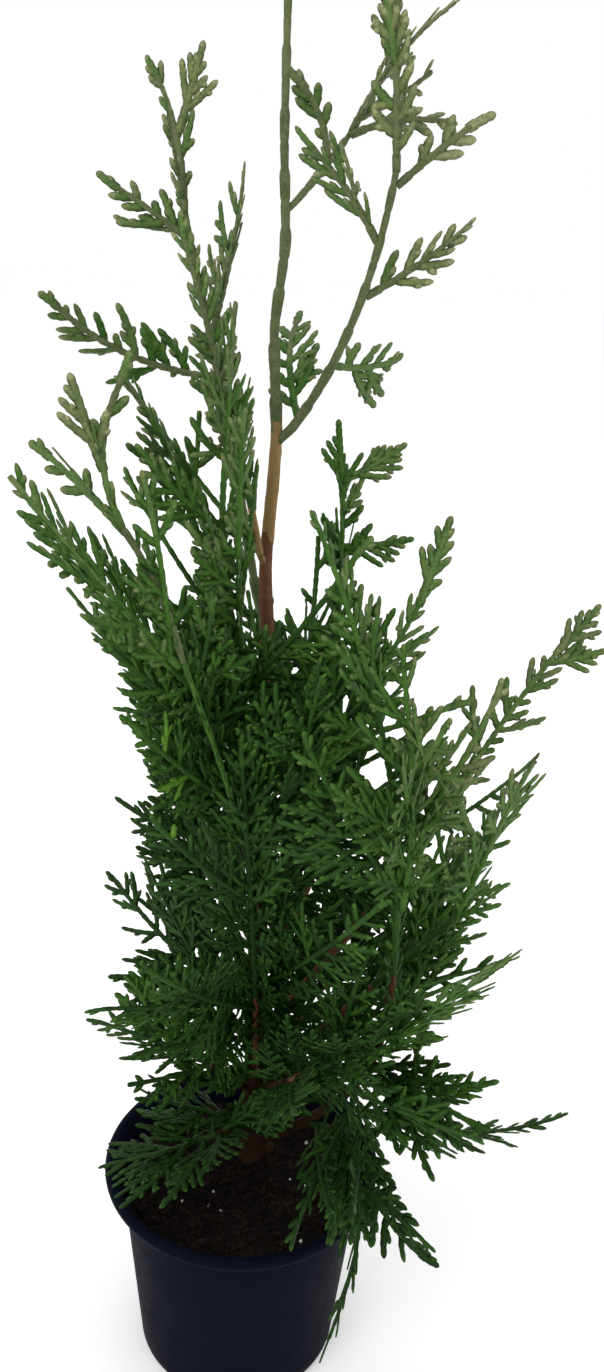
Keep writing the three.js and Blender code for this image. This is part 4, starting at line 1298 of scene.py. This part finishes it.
# Single sprigs: carrier, share of its length, heading, rise, length, change of tone and piece. A row's
# number starts its chance, so the second stays here although it gives way to the trunk's bare stretch.
SPRIGS = [
    ("left_tall_tip", 0.53, -31, 67, 31, 0, "fronds_left_tall"),
    ("trunk", 0.76, -128, 42, 11, 1, "fronds_top"),
    ("leader_side_tip", 0.41, -122, 71, 24, 0, "fronds_top"),
    ("upper_right_tip", 0.61, -133, 66, 20, 0, "fronds_top"),
    ("right_back_tip", 0.75, -127, 77, 33, 0, "fronds_right_tall"),
    ("front_left_tip", 0.36, -149, 68, 30, 0, "fronds_left"),
    ("trunk", 0.05, -140, 8, 27, 0, "fronds_low"),
    ("trunk", 0.08, -75, 12, 25, 0, "fronds_low"),
    ("trunk", 0.1, -115, 20, 30, 0.3, "fronds_low"),
    ("trunk", 0.13, -60, 32, 28, 0.3, "fronds_low"),
    ("trunk", 0.14, -160, 30, 30, 0.3, "fronds_low"),
    ("trunk", 0.06, -50, 10, 30, 0.2, "fronds_low"),
    ("trunk", 0.09, -128, 24, 32, 0.2, "fronds_low"),
    ("droop_left", 0.16, -12, 20, 33, 0.2, "fronds_low"),
    ("droop_left", 0.26, 8, 34, 33, 0.2, "fronds_low"),
    ("bough_right_front", 0.16, -172, 24, 33, 0.2, "fronds_low"),
    ("bough_right_front", 0.22, 176, 42, 33, 0.4, "fronds_low"),
    ("bough_right_front", 0.3, -168, 30, 33, 0.4, "fronds_low"),
    ("right_back_tip", 0.9, 0, 62, 33, 0.6, "fronds_right_tall"),
    ("right_back_tip", 0.85, 0, 27, 31, 0.3, "fronds_right_tall"),
    ("right_back_tip", 0.48, -5, 3, 33, 0, "fronds_right_tall"),
    ("front_left_inner", 0.98, 0, 73, 31, -0.3, "fronds_left"),
    ("far_right_tip", 0.97, 0, 50, 27, 0, "fronds_right_tall"),
    ("far_right_tip", 0.93, -5, 10, 25, 0, "fronds_right_tall"),
]
SPRIG_LIFT = 0.3


def add_sprig(shoots, random, carrier, share, heading, rise, length, shift):
    """A single spray whose flat side faces the camera, and which curls upwards."""
    way = Limb(heading, rise, length, 0, 0).direction(0)
    normal = unit(-FORWARD - way * (-FORWARD @ way))
    root, lift = LINES[carrier].point(share), np.array([0, 0, SPRIG_LIFT])
    add_spray(shoots, random, root, way, normal, lift, length, FINGER_HALF * SPRIG_HALF, shift)


def add_bough_sprays(shoots, name, number):
    """Sprays to both sides of a bough from a share of its length on."""
    begin, face, reach, _ = CLAD_BOUGHS[name]
    line = copy.copy(LINES[name])
    line.face = face
    random = np.random.default_rng(number + BOUGH_SEED)
    add_sprays(shoots, random, random, line, reach, begin * line.length, [], DENSE_PITCH, FINGER_HALF)


FROND_PIECES = {
    "fronds_top": [row[0] for row in MASSES[:10]],
    "fronds_left_tall": [row[0] for row in MASSES[10:17]],
    "fronds_left": [row[0] for row in MASSES[17:24]],
    "fronds_low": [row[0] for row in MASSES[24:30]],
    "fronds_right_tall": [row[0] for row in MASSES[30:36]],
    "fronds_right_low": [row[0] for row in MASSES[36:42]],
    "fronds_back": [row[0] for row in MASSES[42:]],
}


def make_fronds():
    rows = {row[0]: (number, row) for number, row in enumerate(MASSES)}
    stems = Store()
    for piece_name, names in FROND_PIECES.items():
        shoots = Shoots()
        for name in names:
            number, row = rows[name]
            add_frond(shoots, stems, number, row, LINES[name])
        for number, (bough, clad) in enumerate(CLAD_BOUGHS.items()):
            if clad[-1] == piece_name:
                add_bough_sprays(shoots, bough, number)
        for number, (*sprig, piece) in enumerate(SPRIGS):
            if piece == piece_name:
                add_sprig(shoots, np.random.default_rng(number + SPRIG_SEED), *sprig)
        store = Store()
        shoots.into(store)
        store.piece(piece_name, LEAVES, "foliage", names)
    stems.piece("frond_stems", BARKS + LEAVES, "foliage")


# Trunk and boughs

# Bark: cells to a millimetre along x, y and z, and the height of what they raise
RIDGE_CELLS = np.array([0.5, 0.5, 0.09])
FLAKE_CELLS = np.array([0.9, 0.9, 0.35])
RIDGE = 0.1
FLAKE = 0.05

# Limbs: what their rings start from, how soon bark gives way to scale leaves, and these leaves' length,
# swelling, foot, the shares over which they rise and fall, and flatness
LIMB_HINT = np.array([1.0, 0.15, 0.0])
BARK_FADE = 0.03
LIMB_SCALE = 8.5
SCALLOP = 0.17
SCALLOP_FOOT = 0.07
SCALLOP_RISE = 0.8
SCALLOP_FALL = 0.2
LIMB_FLATNESS = 0.1
BAND_CELLS = 0.22


def bark_relief(points):
    """Long thin ridges and small flakes of bark, as a share of the radius."""
    ridges = lattice_noise(points * RIDGE_CELLS, 3)
    flakes = layered_noise(points * FLAKE_CELLS, 2, 9)
    return RIDGE * ridges + FLAKE * flakes


def add_limb(store, points, along, radii, sides, wood, shade_by_share, lobes=None):
    """A barked limb that turns at its share wood into a shoot clothed in long scale leaves."""
    count = len(points)
    share = np.linspace(0, 1, count)
    side = unit(np.cross(along, LIMB_HINT))
    normal = np.cross(along, side)
    turns = turns_of(sides)
    out = np.cos(turns)[None, :, None] * side[:, None] + np.sin(turns)[None, :, None] * normal[:, None]
    radius = radii[:, None] * np.ones(sides)
    if lobes is not None:
        radius = radius * lobes(share[:, None], np.arctan2(out[:, :, 1], out[:, :, 0]))
    surface = (points[:, None] + out * radius[:, :, None]).reshape(-1, 3)
    barked = 1 - smooth(wood - BARK_FADE, wood + BARK_FADE, share)
    relief = bark_relief(surface).reshape(count, sides) * barked[:, None]
    step = np.linalg.norm(points[-1] - points[0]) / (count - 1)
    place = np.arange(count) * step / LIMB_SCALE
    part = place - np.floor(place)
    swelling = np.minimum(part / SCALLOP_RISE, (1 - part) / SCALLOP_FALL)
    scallop = (SCALLOP * swelling - SCALLOP_FOOT) * (1 - barked)
    twist = np.floor(place) % 2 * math.pi / 2
    flat = LIMB_FLATNESS * np.cos(2 * (turns[None, :] - twist[:, None])) * (1 - barked)[:, None]
    radius = radius * (1 + relief + scallop[:, None] + flat)
    vertices = (points[:, None] + out * radius[:, :, None]).reshape(-1, 3)
    quads, first, last = ring_faces(count, sides)
    drift = lattice_noise(surface * BAND_CELLS, 21).reshape(count, sides)[:-1]
    shades = shade_by_share(share[:-1, None] + BAND_DRIFT * drift).ravel()
    store.add(vertices, [(quads, shades), (first, shades[0]), (last, shades[-1])])


# The trunk's rings: how deep they start in the soil, how close they are, and over how many its line
# is softened
TRUNK_SINK = 2.5
TRUNK_FINE_TO = 400
TRUNK_FINE_STEP = 1.1
TRUNK_STEP = 1.4
TRUNK_ROUND = 24
SOFTENED = 15

# The lobes of the trunk's flared foot
FLARE = 0.14
FLARE_HEIGHT = 12
FLARE_LOBES = 3


def make_trunk():
    low = np.arange(SOIL_TOP - TRUNK_SINK, TRUNK_FINE_TO, TRUNK_FINE_STEP)
    high = np.arange(TRUNK_FINE_TO, TRUNK_LINE[-1, 0] + 0.1, TRUNK_STEP)
    heights = np.concatenate([low, high])
    x, y, radii = trunk_at(np.clip(heights, TRUNK_FOOT, None))
    kernel = np.hanning(SOFTENED) / np.hanning(SOFTENED).sum()
    padded = [np.pad(line, SOFTENED // 2, mode="edge") for line in (x, y)]
    points = np.stack([*(np.convolve(line, kernel, mode="valid") for line in padded), heights], axis=1)
    along = unit(np.gradient(points, axis=0))
    shares = np.linspace(0, 1, len(heights))

    def height_of(share):
        return np.interp(share, shares, heights)

    def lobes(share, turn):
        flare = np.clip(1 - (height_of(share) - TRUNK_FOOT) / FLARE_HEIGHT, 0, 1) * FLARE
        return 1 + flare * np.cos(FLARE_LOBES * turn)

    def shade(share):
        height = height_of(share)
        result = np.full(height.shape, SHOOT_OLIVE)
        for top, value in reversed(TRUNK_BANDS):
            result = np.where(height < top, value, result)
        return result

    store = Store()
    wood = np.interp(TRUNK_BARK_TO, heights, shares)
    add_limb(store, points, along, radii, TRUNK_ROUND, wood, shade, lobes)
    store.piece("trunk_bark", BARKS, "bark", ["trunk"])


# Boughs with bark: the share of their length where it gives way to the green shoot, and its colour
BOUGH_BARK = {
    "bough_front_left": (0.3, BARK_TAN),
    "bough_right_back": (0.7, BARK_RED),
    "bough_right_front": (0.75, BARK_RED),
    "bough_far_right": (0.6, BARK_RED),
    "bough_right": (0.6, BARK_RED),
    "bough_back_left": (0.6, BARK_RED),
}
NO_BARK = (-1, BARK_RED)
BOUGH_TONE_SHIFTS = {"bough_front_left": 1.2}
BOUGH_SLIMNESS = {"bough_front_left": 0.6, "bough_right_front": 0.85}
BOUGH_STEP = 1.2
BOUGH_ROUND = 14

# The place on a bough that sets its green, and the shares over which it comes out of what carries it
BOUGH_TONE_AT = 0.6
SINK_OVER = 0.06
ROOT_OVER = 0.05


def make_boughs():
    store = Store()
    for name, on, _, _, _, length, _, _, foot, tip in BOUGHS:
        line = LINES[name]
        count = int(length / BOUGH_STEP)
        share = np.linspace(0, 1, count)
        wood, bark = BOUGH_BARK.get(name, NO_BARK)
        middle = line.point(BOUGH_TONE_AT)
        tone = leaf_tone(middle, 0.5) + BOUGH_TONE_SHIFTS.get(name, 0)
        green = SHOOT_OLIVE if middle[2] > OLIVE_FROM else len(BARKS) + shade_of(tone)

        # Bark low down takes the dark bark, which paints the shade under the crown
        def shade(place, wood=wood, bark=bark, green=green, heights=line.point(share)[:-1, 2:]):
            return np.where(place < wood, np.where(heights < SHADED_BARK_TO, BARK_DARK_SHADED, bark), green)

        sink = BOUGH_SINK * (1 - smooth(0, SINK_OVER, share))
        sunk = line.point(share) - line.direction(np.zeros(count)) * sink[:, None]
        if on == "trunk":
            sunk += into_trunk(sunk[0]) * ROOTED * (1 - smooth(0, ROOT_OVER, share))[:, None]
        radii = BOUGH_SLIMNESS.get(name, 1) * (foot + (tip - foot) * share)
        add_limb(store, sunk, line.direction(share), radii, BOUGH_ROUND, wood, shade)
    store.piece("bough_bark", BARKS + LEAVES, "bark", [row[0] for row in BOUGHS])


# Pot and soil

# Corners round the pot and each drain hole, and the angle from which the pot's edges are sharp
POT_ROUND = 144
DRAIN_ROUND = 24
POT_SHARP = 35

# Where the pot's rounded foot ends, how far its wall rises from there, the shares of this rise where
# the outline has points, and its points' turns round the rim's bead
FOOT_END = 1.6
WALL_RISE = RIM_FOOT - FOOT_END - 0.8
WALL_SHARES = np.linspace(0.05, 0.97, 12)
BEAD_TURNS = np.radians(np.linspace(-90, 100, 14))


def pot_outline():
    """The pot's section as radius and height, from its underside over its rim and down to its floor."""
    outline = [(WALL_FOOT - 3, 0), (WALL_FOOT - 1, 0.35), (WALL_FOOT, FOOT_END)]
    for share in WALL_SHARES:
        outline.append((WALL_FOOT + (WALL_TOP - WALL_FOOT) * share, FOOT_END + WALL_RISE * share))
    outline += [(WALL_TOP + 0.2, POT_HEIGHT - 6.2), (WALL_TOP + 1.4, POT_HEIGHT - 5.9)]
    outline.append((RIM_MIDDLE - 0.8, RIM_FOOT))
    for turn in BEAD_TURNS:
        height = POT_HEIGHT - RIM_BEAD + RIM_BEAD * math.sin(turn)
        outline.append((RIM_MIDDLE + RIM_BEAD * math.cos(turn), height))
    outline += [(RIM_INNER, POT_HEIGHT - 0.6), (RIM_INNER - 0.8, POT_HEIGHT - 1.7)]
    outline += [(WALL_TOP + 0.6, POT_HEIGHT - 5.6), (WALL_TOP - 0.6, POT_HEIGHT - 7.6)]
    outline += [(WALL_FOOT - WALL + 1, FLOOR + 2), (WALL_FOOT - WALL, FLOOR)]
    return np.array(outline, float)


def drain_drill():
    """The drain holes as solids that are cut out of the pot's floor."""
    drills = Store()
    sides, foot, head = ring_faces(2, DRAIN_ROUND)
    for hole in range(DRAIN_HOLES):
        turn = (hole + 0.5) / DRAIN_HOLES * 2 * math.pi
        middle = DRAIN_CIRCLE * np.array([math.cos(turn), math.sin(turn)])
        ring = round_section(DRAIN_ROUND) * DRAIN_RADIUS + middle
        levels = [np.column_stack([ring, np.full(DRAIN_ROUND, height)]) for height in (-FLOOR, 2 * FLOOR)]
        drills.add(np.vstack(levels), [(sides, 0), (foot, 0), (head, 0)])
    return drills.piece("drain_drill", [POT_PLASTIC], "pot")


def make_pot():
    """The pot turned on its axis: tapered wall, rolled rim, and a floor with drain holes cut through."""
    outline = pot_outline()
    around = round_section(POT_ROUND)
    level = outline[:, None, :1] * around
    heights = np.broadcast_to(outline[:, 1:, None], (*level.shape[:2], 1))
    rings = np.concatenate([level, heights], axis=-1).reshape(-1, 3)
    vertices = np.vstack([rings, [0, 0, 0], [0, 0, FLOOR]])
    quads, first, last = ring_faces(len(outline), POT_ROUND)
    store = Store()
    store.add(vertices, [
        (quads, 0), (fan_faces(first[0], len(rings)), 0), (fan_faces(last[0], len(rings) + 1), 0)])
    pot = store.piece("nursery_pot", [POT_PLASTIC], "pot", ["pot"])
    drill = drain_drill()
    cut = pot.modifiers.new("drain holes", "BOOLEAN")
    cut.operation = "DIFFERENCE"
    cut.object = drill
    cut.solver = "EXACT"
    view = bpy.context.evaluated_depsgraph_get()
    done = bpy.data.meshes.new_from_object(pot.evaluated_get(view))
    pot.modifiers.clear()
    pot.data = done
    done.name = "nursery_pot"
    bpy.data.objects.remove(drill)
    done.set_sharp_from_angle(angle=math.radians(POT_SHARP))


# The soil: corners and rings of its top, and radius and height of the rings below
SOIL_ROUND = 260
SOIL_RINGS = np.linspace(0.6, 54.6, 92)
SOIL_SKIRT = [(53.8, 82), (46.4, FLOOR + 1.2), (44, FLOOR + GAP)]

# How rough its top is: how far its mean level lies under the solid's, size and height of clods and of
# grit, and height, middle and spread of the heap at the trunk
SOIL_DROP = 1.1
CLOD_SIZE = 9
CLOD_HEIGHT = 1.1
GRIT_SIZE = 2.2
GRIT_HEIGHT = 0.55
SOIL_HEAP = 1.6
HEAP_MIDDLE = (6, 18)
HEAP_SPREAD = 300

# Crumbs and long chips: how many, how far out, the share of long ones, half sizes and what chance adds
# to them, how uneven and how tipped they are, how high they lie, and which shares of both are bark
CHIPS = 1500
CHIP_REACH = 55
LONG_CHIPS = 0.22
CRUMB_SIZE = np.array([0.4, 0.4, 0.4])
CRUMB_SIZE_MORE = (0.6, 0.6, 0.4)
LONG_LENGTH = (1.1, 2.2)
LONG_WIDTH = (0.5, 0.5)
LONG_THICK = 0.28
CHIP_UNEVEN = 0.35
CHIP_TIP = 0.7
CHIP_LIFT = 0.25
BARK_IN_LONG = 0.75
BARK_IN_CRUMBS = 0.3

# Pale lumps: how many, how far out, corners and levels of their rings, size and what chance adds, the
# power that keeps most of them small, how uneven they are, in how many cells, and how high they lie
LUMPS = 14
LUMP_REACH = 53
LUMP_ROUND = 7
LUMP_LEVELS = (-0.8, -0.3, 0.3, 0.8)
LUMP_SIZE = (0.35, 0.7)
LUMP_POWER = 1.6
LUMP_UNEVEN = 0.3
LUMP_CELLS = 1.3
LUMP_LIFT = 0.4

# Fibres: how many, their points and corners, how far out they start and may reach, their length, curl
# and wandering, how high they lie and arch, and how thick they are
FIBRES = 26
FIBRE_POINTS = 12
FIBRE_ROUND = 5
FIBRE_START = 52
FIBRE_REACH = 54
FIBRE_LENGTH = (8, 14)
FIBRE_CURL = 0.9
FIBRE_CURL_STEP = 0.35
FIBRE_WANDER = 0.25
FIBRE_LIFT = 0.5
FIBRE_ARCH = 1.1
FIBRE_THICK = (0.16, 0.14)


def soil_height(x, y):
    """A rough level top, a little heaped at the trunk."""
    points = np.stack([x, y, 0 * x], axis=-1).reshape(-1, 3)
    clods = layered_noise(points / CLOD_SIZE, 3, 31).reshape(x.shape)
    grit = layered_noise(points / GRIT_SIZE, 2, 47).reshape(x.shape)
    heap = SOIL_HEAP * np.exp(-((x - HEAP_MIDDLE[0]) ** 2 + (y - HEAP_MIDDLE[1]) ** 2) / HEAP_SPREAD)
    return SOIL_TOP - SOIL_DROP + CLOD_HEIGHT * clods + GRIT_HEIGHT * grit + heap


def soil_at(x, y):
    """The soil's height at one place."""
    return float(soil_height(np.array([x]), np.array([y]))[0])


def scattered(random, reach):
    """A place drawn evenly over a disk."""
    out = reach * math.sqrt(random.random())
    turn = random.random() * 2 * math.pi
    return out * math.cos(turn), out * math.sin(turn)


def make_soil():
    around = round_section(SOIL_ROUND)
    x, y = SOIL_RINGS[:, None] * around[:, 0], SOIL_RINGS[:, None] * around[:, 1]
    top = np.stack([x, y, soil_height(x, y)], axis=-1)
    skirt = [np.column_stack([radius * around, np.full(SOIL_ROUND, height)])
             for radius, height in SOIL_SKIRT]
    quads, first, last = ring_faces(len(SOIL_RINGS) + len(skirt), SOIL_ROUND)
    store = Store()
    store.add(np.vstack([top.reshape(-1, 3), *skirt]), [
        (faces[:, ::-1], SOIL_MIX) for faces in (quads, first, last)])
    store.piece("potting_soil", SOILS, "soil", ["soil"])


def make_chips(random):
    """Crumbs of soil, and long chips of bark among them."""
    store = Store()
    cube = np.array(list(itertools.product((-1, 1), repeat=3)), float)
    sides = np.array([(0, 1, 3, 2), (4, 6, 7, 5), (0, 4, 5, 1), (2, 3, 7, 6), (0, 2, 6, 4), (1, 5, 7, 3)])
    for _ in range(CHIPS):
        x, y = scattered(random, CHIP_REACH)
        long = random.random() < LONG_CHIPS
        size = CRUMB_SIZE + random.random(3) * CRUMB_SIZE_MORE
        if long:
            size = np.array([varied(random, *LONG_LENGTH), varied(random, *LONG_WIDTH), LONG_THICK])
        chip = cube * size * (1 + CHIP_UNEVEN * (random.random((8, 3)) - 0.5))
        spin, tip = random.random() * math.pi, swung(random, CHIP_TIP)
        along, across = math.cos(spin), math.sin(spin)
        level = np.array([[along, -across, 0], [across, along, 0], [0, 0, 1]])
        along, across = math.cos(tip), math.sin(tip)
        lean = np.array([[along, 0, across], [0, 1, 0], [-across, 0, along]])
        bark = random.random() < (BARK_IN_LONG if long else BARK_IN_CRUMBS)
        shade = SOIL_BARK if bark else SOIL_MIX
        place = (x, y, soil_at(x, y) + CHIP_LIFT * size[2])
        store.add(chip @ lean.T @ level.T + place, [(sides, shade)])
    store.piece("soil_chips", SOILS, "soil", smooth_faces=False)


def make_lumps(random):
    """A few pale lumps of perlite."""
    store = Store()
    quads, first, last = ring_faces(len(LUMP_LEVELS), LUMP_ROUND)
    around = round_section(LUMP_ROUND)
    ball = np.vstack([np.column_stack([around * math.sqrt(1 - level**2), np.full(LUMP_ROUND, level)])
                      for level in LUMP_LEVELS])
    for number in range(LUMPS):
        x, y = scattered(random, LUMP_REACH)
        size = within(random.random() ** LUMP_POWER, *LUMP_SIZE)
        uneven = 1 + LUMP_UNEVEN * lattice_noise(ball * LUMP_CELLS + number * 7.0, 5)
        place = (x, y, soil_at(x, y) + LUMP_LIFT * size)
        store.add(ball * uneven[:, None] * size + place, [(quads, 0), (first, 0), (last, 0)])
    store.piece("soil_perlite", PERLITES, "soil")


def make_fibres(random):
    """Thin curled fibres on the soil, some of them arched."""
    store = Store()
    quads, first, last = ring_faces(FIBRE_POINTS, FIBRE_ROUND)
    for number in range(FIBRES):
        spot = np.array(scattered(random, FIBRE_START))
        way = random.random() * 2 * math.pi
        curl = swung(random, FIBRE_CURL)
        length = varied(random, *FIBRE_LENGTH)
        path = []
        for step in range(FIBRE_POINTS):
            way += curl * FIBRE_CURL_STEP + swung(random, FIBRE_WANDER)
            spot = spot + np.array([math.cos(way), math.sin(way)]) * length / FIBRE_POINTS
            arch = FIBRE_ARCH * math.sin(math.pi * step / (FIBRE_POINTS - 1))
            lift = FIBRE_LIFT + arch * (number % 3) / 2
            path.append((*spot, soil_at(*spot) + lift))
        path = np.array(path)
        if np.hypot(path[:, 0], path[:, 1]).max() > FIBRE_REACH:
            continue
        along = unit(np.gradient(path, axis=0))
        side = unit(np.cross(along, (0, 0, 1)))
        thin = varied(random, *FIBRE_THICK) * np.linspace(1, 0.5, FIBRE_POINTS)
        tube = sweep_rings(path, side, np.cross(side, along), thin, thin, round_section(FIBRE_ROUND))
        store.add(tube, [(faces, SOIL_FIBRE) for faces in (quads, first, last)])
    store.piece("soil_fibres", SOILS, "soil")


# Floor, lights and camera

FLOOR_HALF = 30
FLOOR_DROP = 0.0006
FLOOR_COLOUR = (0.96, 0.96, 0.96, 1)
FLOOR_GLOW = 0.16
AIM = (0, 0, 0.3)

# The sky's light, and the heights between which it falls from the first value to the second
SKY_HEIGHTS = (0.2, 0.5)
SKY_LIGHT = (1.0, 0.85)

# Lamps: name, place in metres, size and power
LAMPS = [
    ("key", (-1.3, -1.6, 2.4), 1.4, 24),
    ("fill", (1.9, -1.2, 1.4), 1.6, 4),
    ("top", (0.2, 0.9, 2.6), 1.6, 9),
]


def make_floor():
    """A plain pale floor that shines a little, as a lit studio paper does."""
    floor = bpy.data.meshes.new("studio_floor")
    corners = [(x * FLOOR_HALF, y * FLOOR_HALF, 0) for x, y in ((-1, -1), (1, -1), (1, 1), (-1, 1))]
    floor.from_pydata(corners, [], [(0, 1, 2, 3)])
    paper, _, shader = new_material("studio_floor", FLOOR_COLOUR)
    for label, value in {"Base Color": FLOOR_COLOUR, "Roughness": 1, "Emission Color": (1, 1, 1, 1),
                         "Emission Strength": FLOOR_GLOW}.items():
        shader.inputs[label].default_value = value
    floor.materials.append(paper)
    placed = bpy.data.objects.new("studio_floor", floor)
    placed.location.z = -FLOOR_DROP
    bpy.context.scene.collection.objects.link(placed)


def make_lights():
    """Soft light from all round, a little weaker from above, and three soft lamps."""
    world = bpy.data.worlds.new("studio")
    bpy.context.scene.world = world
    world.use_nodes = True
    tree = world.node_tree
    sky = tree.nodes["Background"]
    way = node(tree, "ShaderNodeTexCoord").outputs["Generated"]
    height = node(tree, "ShaderNodeSeparateXYZ", [(0, way)]).outputs["Z"]
    tree.links.new(mapped(tree, height, *SKY_HEIGHTS, *SKY_LIGHT), sky.inputs["Color"])
    sky.inputs["Strength"].default_value = 1.0
    for name, place, size, power in LAMPS:
        lamp = bpy.data.lights.new(name, "AREA")
        lamp.shape = "DISK"
        lamp.size = size
        lamp.energy = power
        holder = bpy.data.objects.new(name, lamp)
        away = np.array(place) - np.array(AIM)
        holder.location = place
        pitch = math.atan2(math.hypot(away[0], away[1]), away[2])
        holder.rotation_euler = (pitch, 0, math.atan2(away[0], -away[1]))
        bpy.context.scene.collection.objects.link(holder)


def make_camera():
    data = bpy.data.cameras.new("photo_view")
    data.sensor_fit = "AUTO"
    data.sensor_width = SENSOR
    data.lens = FOCAL_PIXELS / max(PHOTO_WIDTH, PHOTO_HEIGHT) * SENSOR
    data.clip_start = 0.02
    camera = bpy.data.objects.new("photo_view", data)
    columns = np.column_stack([RIGHT, UP, -FORWARD, np.array(CAMERA_PLACE) * MM])
    camera.matrix_world = Matrix([*columns.tolist(), (0, 0, 0, 1)])
    bpy.context.scene.collection.objects.link(camera)
    bpy.context.scene.camera = camera


make_fronds()
make_trunk()
make_boughs()
make_pot()
make_soil()
soil_random = np.random.default_rng(SOIL_SEED)
make_chips(soil_random)
make_lumps(soil_random)
make_fibres(soil_random)
make_floor()
make_lights()
make_camera()
bpy.context.scene.view_settings.view_transform = "Standard"
